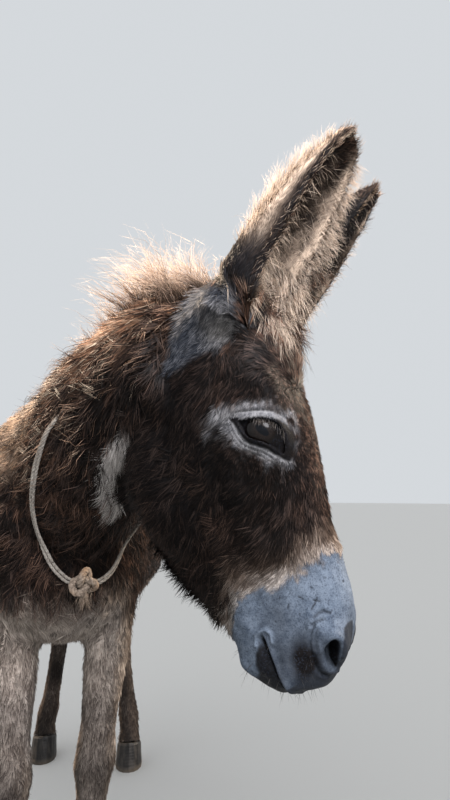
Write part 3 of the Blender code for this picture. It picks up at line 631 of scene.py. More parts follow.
def shape_lids(spots):
    """Opens the lids over the eyeball and folds the skin round them."""
    along, front, left = head_axes(spots)
    side = np.sign(left)
    near = eye_region(spots, 0.050)
    distance, away = edge_distance(along, front, OPENING)
    snap = np.where(near & (abs(distance) < 0.0007), distance, 0.0)
    along = along - snap * away[:, 0]
    front = front - snap * away[:, 1]
    distance = np.where(snap != 0.0, 0.0002, distance)
    reach = np.hypot(along - EYE_AT[0], front - EYE_AT[1])
    ball = EYE_AT[2] + np.sqrt(np.clip(EYE_RADIUS ** 2 - reach ** 2, 0.0, None))
    upper = step(-0.002, 0.006, (front - EYE_AT[1]) * math.cos(EYE_SLANT)
                 - (along - EYE_AT[0]) * math.sin(EYE_SLANT))
    height = abs(left)
    outside = np.clip(distance, 0.0, None)
    lid = np.where(reach < EYE_RADIUS, ball + 0.0016, 0.0)
    height = np.maximum(height, lid)
    height += 0.0016 * upper * hump(outside, 0.0022, 0.0026)
    height += 0.0008 * (1 - upper) * hump(outside, 0.0016, 0.0016)
    height -= 0.0016 * upper * hump(outside, 0.0085, 0.0020)
    height += 0.0012 * upper * hump(outside, 0.0135, 0.0040)
    for fold in (0.0055, 0.0095, 0.0140):
        height -= 0.0007 * (1 - upper) * hump(outside, fold, 0.0011)
    floor = np.maximum(np.where(reach < EYE_RADIUS, ball - 0.0030, 0.0), height - 0.0050)
    height = np.where(distance < 0.0, np.minimum(height - 0.0022, floor), height)
    blend = step(0.046, 0.036, reach) * near
    moved = POLL + np.outer(along, ALONG) + np.outer(front, FRONT)
    moved += np.outer(side * (height * blend + abs(left) * (1 - blend)), LEFT)
    return np.where(near[:, None], moved, spots)


def shape_muzzle(spots, normals):
    """Hollows the nostrils, parts the lips and adds the folds that run round both."""
    along, front, left = head_axes(spots)
    side = np.sign(left)
    near = muzzle_region(spots)
    # lips
    mouth = np.interp(along, MOUTH_ALONG, MOUTH_FRONT) + 0.0010 * np.sin(abs(left) * 90.0)
    above = front - mouth
    open_lips = step(0.390, 0.400, along)
    snap = np.where(near & (abs(above) < 0.0008) & (open_lips > 0.2), above, 0.0)
    spots = spots - np.outer(snap, FRONT)
    above = np.where(snap != 0.0, 0.0, above)
    push = -0.0066 * hump(above, 0.0, 0.0018) * open_lips
    push += 0.0018 * hump(above, 0.0046, 0.0030) * open_lips
    push -= 0.0026 * step(-0.0165, -0.004, above) * step(0.0, -0.0015, above) * open_lips
    ridge, _ = edge_distance(along, front, np.array(MOUTH_RIDGE) * CM, closed=False)
    push += 0.0022 * hump(ridge, 0.0, 0.0024)
    push -= 0.0016 * hump(np.hypot(along - 0.4000, front + 0.0482), 0.0, 0.0036)
    # nostrils
    distance, _ = edge_distance(along, front, NOSTRIL)
    outer = abs(left) > 0.012
    outside = np.clip(distance, 0.0, None)
    push += outer * 0.0020 * hump(outside, 0.0030, 0.0028)
    # creases
    uneven = 1.0 + 0.5 * clouds(spots, 0.010, 6.0)
    for crease, deep in zip(CREASES, (0.0017, 0.0011, 0.0008, 0.0008)):
        gap, _ = edge_distance(along, front, np.array(crease) * CM, closed=False)
        push += outer * uneven * (0.0008 * hump(gap, 0.0042, 0.0024) - deep * hump(gap, 0.0, 0.0015))
    push -= 0.0007 * crease_share(along, front, NICKS, 0.0010) * (left < 0)
    wave = clouds(spots, 0.016, 3.0) * 0.0007 + clouds(spots, 0.007, 9.0) * 0.00035
    push += wave * step(0.340, 0.370, along)
    moved = spots + normals * (push * near)[:, None]
    inward = unit(-0.85 * side[:, None] * LEFT - 0.30 * FRONT - 0.25 * ALONG)
    hollow = 0.020 * step(0.0006, -0.0065, distance) * (near & outer)
    return moved + inward * hollow[:, None]


def make_skin():
    """One skin over all the flesh, sunk by the depth of the coat, with lids and muzzle shaped."""
    body = remeshed_flesh()
    spots = vertex_array(body.data)
    depth = coat_depth(spots, ear_share(spots))
    put_vertices(body.data, spots - normal_array(body.data) * depth[:, None])
    refine(body.data, muzzle_region, 2)
    refine(body.data, lambda p: muzzle_region(p) & (head_axes(p)[0] > 0.352), 2)
    refine(body.data, lambda p: eye_region(p, 0.052), 3)
    refine(body.data, lambda p: eye_region(p, 0.040), 2)
    put_vertices(body.data, shape_lids(vertex_array(body.data)))
    spots = vertex_array(body.data)
    put_vertices(body.data, shape_muzzle(spots, normal_array(body.data)))
    body.data.shade_smooth()
    return body


# ---- markings ---------------------------------------------------------------------------------

MARKS = ("rust", "tan", "pale", "slate", "ink", "bleach")


def line_distance(points, line):
    """Distance from an open line through these points, in space."""
    nearest = np.full(len(points), 1e9)
    for start, end in zip(line, line[1:]):
        run = end - start
        share = np.clip((points - start) @ run / (run @ run), 0.0, 1.0)
        nearest = np.minimum(nearest, np.linalg.norm(points - start - share[:, None] * run, axis=1))
    return nearest


def throat_gap(points):
    """Distance from the pale streaks on the throat, which mirror each other."""
    spots = np.stack(head_axes(points), axis=1) / CM
    throat = np.array(THROAT_STREAK)
    return np.minimum(line_distance(spots, throat), line_distance(spots * (1, 1, -1), throat)) * CM


def dark_of_face(along, front, left, ragged, patchy):
    """Ink on the lids and the scars of the muzzle, and painted shade in the nostrils, on the lips and in
    the creases.
    """
    sides = abs(left) > 0.010
    margin_gap, _ = edge_distance(along, front, MARGIN)
    lids = step(0.0022, -0.0010, margin_gap + ragged * 0.15) * (abs(left) > 0.055)
    # painted shade in the hollow of each nostril
    nostril_gap, _ = edge_distance(along, front, NOSTRIL)
    nostrils = step(0.0012, -0.0026, nostril_gap) * sides
    # painted shade along the lower edge of the upper lip
    upper_lip_shade = step(0.0025, -0.0025, edge_distance(along, front, UPPER_LIP_SHADE)[0] + ragged * 0.3)
    # painted shade along the mouth's slit and under the upper lip
    lip_gap = front - np.interp(along, MOUTH_ALONG, MOUTH_FRONT)
    lips = step(0.390, 0.400, along) * hump(lip_gap, -0.0012, 0.0032)
    lip_depth = np.interp(along, (0.400, 0.415, 0.430, 0.445), (0.009, 0.019, 0.026, 0.034))
    under = step(0.002, -0.001, lip_gap) * step(-1.15, -0.80, lip_gap / lip_depth + ragged * 30.0)
    under = under * step(0.396, 0.408, along)
    # painted shade in the creases round the nostrils
    creases = crease_share(along, front, CREASES, 0.0017) * sides * (0.6 + 0.4 * patchy)
    nicks = crease_share(along, front, NICKS, 0.0008) * (left < 0)
    return np.maximum.reduce((lids, nostrils, 0.86 * upper_lip_shade, lips, 0.96 * under, 0.95 * creases,
                              0.9 * nicks))


def muzzle_painted_shade(along, front, wander):
    """Painted shade: darker grey in the hollows over the nostril and the corner of the mouth, and on the
    low lip.
    """
    hollow = np.maximum(hump(np.hypot((along - 0.372) / 1.4, front + 0.022), 0.0, 0.017),
                        hump(np.hypot((along - 0.418) / 1.6, front + 0.008), 0.0, 0.016))
    low_lip_shade = step(0.375, 0.430, along - 0.35 * front + wander) * step(-0.055, -0.045, front)
    return 0.46 * hollow + 0.66 * low_lip_shade


def mark_ear(marks, cup, points, ear, wander, streaks):
    """Dark outside with a tan back, rust at the tip, light hair in the cup and on its edges, painted shade
    in the cup.
    """
    share, turn, depth = cup.place(points)
    mine = ear * (abs(depth) < 0.03) * (share > 0.0) * (share < 1.3)
    inner = step(-0.001, 0.002, depth)
    tip = step(0.84, 0.98, share + wander * 3)
    behind = (1 - inner) * step(0.18, 0.46, share + wander * 4) * step(-0.30, -0.02, turn)
    behind = behind * step(0.90, 0.68, turn + wander * 8)
    inner_edge = inner * step(-0.55, -0.85, turn + wander * 8)
    rolled = step(0.72, 0.90, turn + wander * 8)
    bands = step(-0.1, 0.5, clouds(points, 0.018, 13.0))
    foot = step(0.42, 0.26, share) * step(0.25, -0.05, turn)
    # the cup is light by its inner edge, on its outer rim and at its foot; from its back to the rim it is
    # left dark as painted shade
    cup_light = np.maximum.reduce((0.25 * step(0.1, -0.2, turn) + 0.45 * step(-0.30, -0.70, turn),
                                   0.9 * step(0.76, 0.88, turn), foot))
    inside = inner * cup_light * (1.0 - 0.65 * bands * (1 - foot))
    light = np.maximum.reduce((0.92 * behind, inside, 0.9 * inner_edge)) * (1 - 0.65 * tip)
    grizzle = step(0.0, 0.7, streaks) * step(0.40, 0.10, abs(turn - 0.2))
    light = np.maximum(light, 0.32 * (1 - inner) * grizzle)
    dark = (1 - inner) * (1 - behind) * 0.75 + 0.75 * inner * (1 - light)
    own = {"tan": light, "bleach": light * (0.85 - 0.35 * behind),
           "rust": np.clip(0.50 * tip + 0.30 * rolled * step(0.1, 0.4, share), 0, 1),
           "ink": np.clip(dark * (1 - 0.45 * tip), 0, 1)}
    for mark, value in own.items():
        marks[mark] = marks[mark] * (1 - mine) + mine * value
    # over the foot of the ear the grey patch of its root shows through
    free = mine * step(0.08, 0.14, share)
    marks["pale"] = marks["pale"] * (1 - free)
    marks["slate"] = marks["slate"] * (1 - free) + 0.16 * free * (1 - inner) * step(0.40, 0.20, share)


def markings(points, normals):
    """Shares of each colour over the dark brown ground, for skin and coat alike."""
    along, front, left = head_axes(points)
    _, back, height = body_axes(points)
    head = head_share(points)
    ear = ear_share(points)
    body = 1.0 - head
    wander = clouds(points, 0.035) * 0.010 + clouds(points, 0.010, 4.0) * 0.004
    ragged = clouds(points, 0.009, 8.0) * 0.006 + clouds(points, 0.004, 15.0) * 0.004
    patchy = clouds(points, 0.060, 7.0)
    streaks = clouds(points * (1.0, 1.0, 0.35), 0.012, 2.0)
    # tan along the back and over the rump: painted sunlight on the top of the body
    tan = 0.62 * body * step(0.760, 0.950, height + wander * 2 + patchy * 0.02) * step(-0.50, -0.38, back)
    bleach = 0.35 * tan
    tan = np.maximum(tan, 0.30 * body * step(0.80, 0.95, height + patchy * 0.03) * step(0.0, 0.30, back))
    # rust on the crest, and on the tips over neck, shoulder and brow
    crest = body * step(0.94, 1.04, height + wander) * step(-0.20, -0.34, back)
    bleach = bleach + 0.25 * crest + 0.08 * body * step(0.55, 0.75, height) * step(-0.1, 0.5, streaks)
    fleck = step(0.15, 0.60, streaks + 0.35 * patchy)
    tan = np.maximum(tan, 0.20 * crest * fleck)
    rust = 0.60 * crest + 0.34 * body * fleck * step(0.55, 0.70, height)
    brow = head * step(0.150, 0.060, along + wander) * step(-0.03, 0.015, front + wander)
    bleach = bleach + 0.22 * brow * step(0.0, 0.5, streaks)
    ridge = head * step(0.030, 0.052, front) * step(0.36, 0.26, along)
    rust = rust + 0.55 * brow * fleck + 0.25 * ridge + 0.12 * head * fleck
    cheek = head * step(0.00, -0.05, front + wander) * step(0.05, 0.12, along)
    # grey-beige breast, belly and legs
    fore = step(-0.05, -0.15, back)
    breast = step(0.665, 0.585, height + wander * 2.0 + 0.10 * step(0.03, -0.05, -back - 0.33))
    breast = breast * fore
    front_leg = step(-0.5, 0.7, normals[:, 1] * -1.0 + 0.5 * patchy) * step(0.52, 0.30, height)
    belly = step(0.10, -0.55, normals[:, 2]) * step(0.60, 0.52, height)
    rear = step(0.60, 0.40, height) * step(0.10, 0.25, back)
    pale = body * np.maximum.reduce((0.45 * breast, 0.50 * belly, 0.12 * rear))
    bleach = bleach + (0.16 + 0.26 * step(0.42, 0.58, height) + 0.15 * streaks) * breast * body
    sandy = body * np.maximum.reduce((breast, belly, 0.25 * rear))
    tan = np.maximum(tan, sandy * (0.52 + 0.25 * step(-0.4, 0.5, patchy)))
    knee = hump(height, 0.325, 0.060) * fore + 0.8 * hump(height, 0.12, 0.09)
    # the darker hind legs are partly their own colour and partly painted shade
    ink = body * np.maximum.reduce((
        0.75 * knee * step(-0.6, 0.5, patchy), 0.75 * rear * step(-0.6, 0.4, patchy),
        0.68 * front_leg * fore, 0.35 * breast * step(0.1, 0.6, patchy + 0.4 * streaks)))
    ink = ink + 0.42 * cheek * step(0.30, 0.22, along)
    # pale rings round the eyes, roots of the ears and streaks behind the cheeks
    ring_gap, _ = edge_distance(along, front, RING)
    ring = head * step(0.005, -0.012, ring_gap + ragged * 1.4) * step(0.045, 0.055, abs(left))
    patch_gap, _ = edge_distance(along, front, ROOT_PATCH)
    beside = step(0.13, 0.11, abs(left))
    root = step(0.004, -0.006, patch_gap + wander * 0.4) * step(0.020, 0.032, abs(left)) * beside
    bright = hump(np.hypot(along - 0.056, front + 0.006), 0.0, 0.024)
    streak = step(0.0160, 0.0060, throat_gap(points) + ragged * 0.5) * step(0.118, 0.150, along + wander)
    pale = np.maximum.reduce((pale, 0.62 * ring, root * (0.25 + 0.70 * bright), streak))
    bleach = np.maximum.reduce((bleach, 0.34 * ring, root * 0.5 * bright, 0.85 * streak))
    rust = rust * (1.0 - np.maximum.reduce((ring, root, streak)))
    ink = ink * (1.0 - np.maximum.reduce((ring, root, streak)))
    # the bare grey muzzle, edged with lighter hair
    past = past_hairline(along, front) + ragged * 1.3
    slate = head * step(-0.006, 0.005, past)
    fading = head * step(-0.050, -0.002, past + wander)
    tan = np.maximum(tan, 0.35 * fading * (1 - slate))
    edging = step(-0.030, 0.002, past + wander) * (0.75 - 0.45 * step(-0.030, 0.020, front))
    pale = np.maximum(pale, edging * head * (1 - slate))
    # painted light: the bare skin is bleached where light falls, on the upper muzzle, the chin and by the
    # hairline
    lit = np.maximum.reduce((0.62 * step(0.400, 0.350, along - 0.30 * front + wander),
                             0.5 * step(-0.060, -0.078, front), 0.70 * step(0.030, 0.0, past)))
    bleach = np.maximum.reduce((bleach, 0.45 * fading, slate * lit))
    slate = np.maximum(slate, np.maximum(root * (0.62 - 0.34 * bright), 0.45 * ring))
    rust = rust * (1.0 - fading)
    # dark lids, wing and blotches, and painted shade on the lips, in the nostrils and in the hollows of the
    # muzzle
    wing = step(0.0015, -0.0015, edge_distance(along, front, WING)[0] + ragged * 0.2) * (abs(left) > 0.010)
    rust = np.maximum(rust, 0.43 * head * wing)
    blots = 0.20 * patchy + 0.16 * streaks
    dark = np.maximum(dark_of_face(along, front, left, ragged, patchy),
                      slate * (muzzle_painted_shade(along, front, wander) + blots))
    ink = np.maximum.reduce((ink, head * 0.86 * wing, head * dark))
    # painted highlight along the ridge round each corner of the mouth
    ridge_highlight = head * crease_share(along, front, [MOUTH_RIDGE], 0.0024)
    ink = ink * (1.0 - 0.9 * ridge_highlight)
    bleach = np.maximum(bleach, 0.6 * ridge_highlight)
    marks = dict(zip(MARKS, (rust, tan, pale, slate, ink, bleach)))
    for cup in EARS.values():
        mark_ear(marks, cup, points, ear, wander, streaks)
    return {name: np.clip(share, 0.0, 1.0) for name, share in marks.items()}


def add_marks(mesh, marks):
    """The shares as attributes that the finishes read."""
    for name, values in marks.items():
        layer = mesh.attributes.new(name, "FLOAT", "POINT")
        layer.data.foreach_set("value", values.astype(np.float32))


# the dark and the light tone of each colour
GROUND = ((0.0055, 0.0040, 0.0036), (0.100, 0.066, 0.054))
PALETTE = {"rust": ((0.024, 0.011, 0.007), (0.36, 0.185, 0.112)),
           # the tan's light tone is brighter than real hair, painted light for sun shining through pale
           # hair
           "tan": ((0.20, 0.125, 0.085), (0.95, 0.750, 0.580)),
           "pale": ((0.14, 0.128, 0.122), (0.78, 0.725, 0.685)),
           # the slate's blue cast is painted skylight over the grey of the bare skin
           "slate": ((0.027, 0.040, 0.064), (0.165, 0.198, 0.248)),
           "ink": ((0.002, 0.002, 0.003), (0.010, 0.0085, 0.0085))}


def marked_colour(finish, tone):
    """The donkey's markings, each between its dark and its light tone."""
    colour = finish.mix(tone, *GROUND)
    for name, tones in PALETTE.items():
        colour = finish.mix(finish.attribute(name), colour, finish.mix(tone, *tones))
    return colour


def skin_finish():
    """Bare hide on muzzle and lids, and the shaded roots of the coat elsewhere."""
    finish = Finish("hide", Specular_IOR_Level=0.06)
    soft = finish.noise(70.0, 4.0)
    grain = finish.noise(900.0, 2.0)
    pores = finish.noise(520.0, 3.0)
    bare = finish.attribute("slate")
    mottled = finish.noise(190.0, 4.0)
    tone = soft * 0.50 + grain * 0.45 + mottled * 0.45 + finish.attribute("bleach") * 0.45 - 0.30
    colour = marked_colour(finish, tone.rise(0.22, 0.88))
    colour = finish.mix(pores.rise(0.54, 0.63) * bare * 0.52, colour, (0.026, 0.032, 0.046))
    shaded = 0.55 - (bare + finish.attribute("pale") + finish.attribute("tan")) * 0.5
    colour = finish.mix(shaded, colour, (0.008, 0.006, 0.005))
    finish.to("Base Color", colour)
    finish.to("Roughness", 0.72 - finish.attribute("ink") * 0.28 + grain * 0.1)
    finish.bump(grain * 0.5 + pores * 0.5 + soft * 0.6, 0.45, 0.0012)
    return finish.material


def coat_finish():
    """Hair that takes its markings' tone from luck, reach and bleaching, with painted shade toward the
    root.
    """
    finish = Finish("coat", Roughness=0.60, Specular_IOR_Level=0.14)
    luck = finish.attribute("luck")
    reach = finish.attribute("reach")
    bleach = finish.attribute("bleach")
    tone = luck.rise(0.30, 0.95) * 0.62 + reach * 0.20 + bleach * 0.56
    colour = marked_colour(finish, tone.rise(0.08, 0.90))
    # painted shade: the hair darkens toward its root, where the coat would shade it, less where bleached
    shade = 0.82 - 0.82 * reach.rise(0.0, 0.85) - bleach * 0.40
    colour = finish.mix(shade, colour, (0.005, 0.004, 0.004))
    finish.to("Base Color", colour)
    return finish.material


COAT = coat_finish()


# ---- the coat ---------------------------------------------------------------------------------

def lie_of_coat(points, normals):
    """The direction in which the coat lies, along the skin."""
    along, front, left = head_axes(points)
    across, back, height = body_axes(points)
    head = head_share(points)[:, None]
    cheek = step(0.035, -0.040, front)[:, None]
    down_face = ALONG - FRONT * 0.15
    down_cheek = ALONG * 0.55 - FRONT * 0.85
    face = down_face * (1 - cheek) + down_cheek * cheek
    whorl = np.stack((along - 0.135, left), axis=1)
    whorl = unit(whorl)
    brow = (step(0.20, 0.12, along) * step(-0.01, 0.03, front))[:, None]
    face = face * (1 - brow) + (whorl[:, :1] * ALONG + whorl[:, 1:] * LEFT) * brow
    neck = np.array((-0.42, 0.40, -0.80))
    flank = np.array((0.0, 1.0, -0.38))
    leg = np.array((0.0, 0.12, -1.0))
    breast = np.array((0.0, 0.05, -1.0))
    rump = np.array((0.0, 0.45, -0.9))
    to_neck = step(-0.12, -0.30, back)[:, None]
    to_leg = step(0.60, 0.48, height)[:, None] * step(0.02, 0.06, abs(across))[:, None]
    to_breast = (step(0.72, 0.60, height) * step(-0.10, -0.30, back))[:, None]
    to_rump = step(0.40, 0.52, back)[:, None]
    body = flank * (1 - to_neck) + neck * to_neck
    body = body * (1 - to_rump) + rump * to_rump
    body = body * (1 - to_breast) + breast * to_breast
    body = body * (1 - to_leg) + leg * to_leg
    lie = unit(face) * head + unit(body) * (1 - head)
    ear = ear_share(points)[:, None]
    for cup in EARS.values():
        share, _, depth = cup.place(points)
        mine = ear * ((abs(depth) < 0.03) & (share > 0.0))[:, None]
        inward = np.outer(step(-0.001, 0.002, depth) * -0.9, cup.across)
        lie = lie * (1 - mine) + (cup.axis + inward) * mine
    return flat_to(normals, lie)


def coat_shape(points):
    """Length and width of the tufts, and how much they stray from the lie of the coat."""
    along, front, left = head_axes(points)
    _, back, height = body_axes(points)
    head = head_share(points)
    ear = ear_share(points)
    rough = clouds(points, 0.030, 17.0)
    face = 0.0205 + 0.004 * step(0.13, 0.05, along) + 0.008 * step(-0.02, -0.12, front)
    face = face - 0.002 * step(0.01, 0.04, front) * step(0.14, 0.20, along)
    eye_gap = np.hypot(along - EYE_AT[0] - 0.004, front - EYE_AT[1] - 0.003)
    face = 0.0045 + (face - 0.0045) * step(0.030, 0.075, eye_gap)
    past = past_hairline(along, front)
    face = face * step(0.010, -0.035, past) + 0.0032 * step(-0.035, 0.010, past)
    trunk = 0.025 + 0.006 * rough
    trunk = trunk + 0.012 * step(-0.15, -0.32, back) * step(0.58, 0.70, height)
    leg = 0.0165 - 0.003 * step(0.34, 0.26, height) + 0.007 * hump(height, 0.095, 0.030)
    low = step(0.58, 0.46, height)
    body = trunk * (1 - low) + leg * low
    length = face * head + body * (1 - head)
    length = length * (1 - ear) + 0.0105 * ear
    length = length * (1.0 + 0.22 * rough)
    smooth = np.maximum(head, ear)
    patch_gap, _ = edge_distance(along, front, ROOT_PATCH)
    length = length * (1.0 - 0.5 * step(0.006, -0.004, patch_gap) * (abs(left) < 0.13) * (abs(left) > 0.02))
    width = 0.00060 + (0.032 - 0.008 * smooth) * np.minimum(length, 0.022)
    stray = 0.22 + 0.40 * step(0.014, 0.030, length) * (1.0 - 0.45 * smooth)
    return length, width, stray


def triangles_of(mesh):
    """The corners of a mesh's triangles, one row each."""
    mesh.calc_loop_triangles()
    corners = np.empty(len(mesh.loop_triangles) * 3, np.int32)
    mesh.loop_triangles.foreach_get("vertices", corners)
    return corners.reshape(-1, 3)


def unwrap(spots, corners):
    """An unwrap of these triangles that fills a unit square: one point for each corner."""
    used, renumbered = np.unique(corners, return_inverse=True)
    mesh = mesh_from(spots[used], renumbered.reshape(-1, 3), "sheet")
    mesh.uv_layers.new(name="OFBake")
    sheet = placed("sheet", mesh)
    for other in bpy.context.view_layer.objects:
        other.select_set(other is sheet)
    bpy.context.view_layer.objects.active = sheet
    bpy.ops.object.mode_set(mode="EDIT")
    bpy.ops.mesh.select_all(action="SELECT")
    bpy.ops.uv.smart_project(angle_limit=math.radians(66), island_margin=0.002)
    bpy.ops.object.mode_set(mode="OBJECT")
    flat = np.empty(len(corners) * 6, np.float32)
    mesh.uv_layers["OFBake"].uv.foreach_get("vector", flat)
    bpy.data.objects.remove(sheet)
    return flat.reshape(-1, 3, 2).astype(float)


def mesh_from(spots, corners, name):
    """A mesh of triangles."""
    mesh = bpy.data.meshes.new(name)
    mesh.vertices.add(len(spots))
    mesh.vertices.foreach_set("co", spots.astype(np.float32).ravel())
    mesh.loops.add(corners.size)
    mesh.loops.foreach_set("vertex_index", corners.astype(np.int32).ravel())
    mesh.polygons.add(len(corners))
    mesh.polygons.foreach_set("loop_start", np.arange(0, corners.size, 3, dtype=np.int32))
    mesh.update()
    return mesh


class Hide:
    """The skin as triangles, from which the coat grows."""

    def __init__(self, mesh):
        self.spots = vertex_array(mesh)
        self.normals = normal_array(mesh)
        self.corners = triangles_of(mesh)
        a, b, c = (self.spots[self.corners[:, k]] for k in range(3))
        self.area = np.linalg.norm(np.cross(b - a, c - a), axis=1) / 2
        self.middle = (a + b + c) / 3
        self.tree = BVHTree.FromPolygons([Vector(p) for p in self.spots], self.corners.tolist())

    def scatter(self, rng, chosen, density, count):
        """Roots spread over the chosen triangles: their places, normals and places on the unwrap."""
        sheet = unwrap(self.spots, self.corners[chosen])
        share = self.area[chosen] * density
        expected = share / share.sum() * count
        number = np.floor(expected + rng.random(len(chosen))).astype(int)
        which = np.repeat(np.arange(len(chosen)), number)
        u, v = rng.random(len(which)), rng.random(len(which))
        flip = u + v > 1
        u[flip], v[flip] = 1 - u[flip], 1 - v[flip]
        parts = np.stack((1 - u - v, u, v), axis=1)[:, :, None]
        corner = self.corners[chosen[which]]
        roots = np.sum(self.spots[corner] * parts, axis=1)
        normals = unit(np.sum(self.normals[corner] * parts, axis=1))
        return roots, normals, np.sum(sheet[which] * parts, axis=1)

    def drop(self, spots, way=(0.0, 0.0, -1.0)):
        """Points moved `way` onto the skin, with their normals and places on the unwrap."""
        places, normals, faces = [], [], []
        for spot in spots:
            place, normal, face, _ = self.tree.ray_cast(Vector(spot), Vector(way))
            if place is None:
                place, normal, face, _ = self.tree.find_nearest(Vector(spot))
            places.append(place)
            normals.append(normal)
            faces.append(face)
        chosen, which = np.unique(faces, return_inverse=True)
        sheet = unwrap(self.spots, self.corners[chosen])
        return np.array(places), np.array(normals), sheet[which].mean(axis=1)


PATCH = 0.003                             # width of a tuft's patch on the unwrap


def finish_coat(obj):
    """The coat's material, body and slot for one piece."""
    obj.data.materials.append(COAT)
    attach(obj, "root")


def nearest_leader(roots, group, rng):
    """For each root, the index of the nearest of the roots that lead a lock of about `group` tufts."""
    leaders = rng.choice(len(roots), max(1, len(roots) // group), replace=False)
    tree = KDTree(len(leaders))
    for index in leaders:
        tree.insert(roots[index], int(index))
    tree.balance()
    return np.array([tree.find(root)[1] for root in roots])


def make_tufts(name, roots, normals, sheet, rng, group, gather):
    """Short pointed tufts, each a closed four-sided sliver, whose tips gather into locks."""
    count = len(roots)
    length, width, stray = coat_shape(roots)
    depth = coat_depth(roots, ear_share(roots))
    clear = rope_clearance(roots)
    leader = nearest_leader(roots, group, rng)
    length = length * (0.70 + 0.60 * rng.random(count)) * (0.55 + 0.45 * clear)
    width = width * (0.6 + 0.9 * rng.random(count) ** 2)
    depth = np.maximum(depth, 0.0008) * (0.45 + 0.75 * rng.random(count)) * (0.25 + 0.75 * clear)
    lie = lie_of_coat(roots, normals)
    side = np.cross(normals, lie)
    swirl = clouds(roots, 0.022, 21.0) + 0.6 * clouds(roots, 0.009, 33.0)
    turn = stray * (1.5 * swirl + rng.normal(0.0, 0.55, count))
    turn = turn * 0.4 + turn[leader] * 0.9
    lie = lie * np.cos(turn)[:, None] + side * np.sin(turn)[:, None]
    side = np.cross(normals, lie)
    roll = rng.normal(0.0, 0.24, count)
    across = side * np.cos(roll)[:, None] + normals * np.sin(roll)[:, None]
    half = across * (width / 2)[:, None]
    base = roots - normals * 0.0004
    reach = np.sqrt(np.clip(length ** 2 - depth ** 2, 1e-8, None))
    bend = side * (length * rng.normal(0.0, 0.14, count))[:, None]
    rise = (depth * (0.45 + 0.8 * rng.random(count)))[:, None]
    tip = base + lie * reach[:, None] + normals * rise + bend
    tip = tip * (1.0 - gather) + tip[leader] * gather
    ridge = base * 0.55 + tip * 0.45 + normals * (0.0005 + depth * 0.09)[:, None] - bend * 0.10
    spots = np.stack((base + half, base - half, ridge, tip), axis=1).reshape(-1, 3)
    pattern = np.array(((0, 1, 2), (0, 2, 3), (2, 1, 3), (1, 0, 3)))
    corners = (pattern[None] + 4 * np.arange(count)[:, None, None]).reshape(-1, 3)
    mesh = mesh_from(spots, corners, name)
    mesh.shade_smooth()
    # the light falls on a tuft as on the skin under it, a little rounded across
    shading = np.stack((normals + across * 0.45, normals - across * 0.45, normals,
                        normals * 0.8 + lie * 0.35), axis=1)
    mesh.normals_split_custom_set_from_vertices(unit(shading.reshape(-1, 3)))
    patch = np.array((((0, 0), (1, 0), (0.5, 0.3)), ((0, 0), (0.5, 0.3), (0.5, 1)),
                      ((0.5, 0.3), (1, 0), (0.5, 1)), ((0.0, 0.7), (0.2, 1), (0, 1))))
    flat = sheet[:, None, None, :] + (patch - 0.5)[None] * PATCH
    layer = mesh.uv_layers.new(name="OFBake")
    layer.uv.foreach_set("vector", flat.astype(np.float32).ravel())
    marks = markings(roots, normals)
    add_marks(mesh, {mark: np.repeat(values, 4) for mark, values in marks.items()})
    luck = rng.random(count)
    luck = luck * 0.52 + luck[leader] * 0.38
    luck = luck + 0.16 * clouds(roots, 0.012, 45.0) + 0.16 * clouds(roots, 0.040, 51.0)
    luck = np.clip(luck, 0.0, 1.0)
    add_marks(mesh, {"luck": np.repeat(luck, 4), "reach": np.tile((0.0, 0.0, 0.55, 1.0), count)})
    finish_coat(placed(name, mesh))


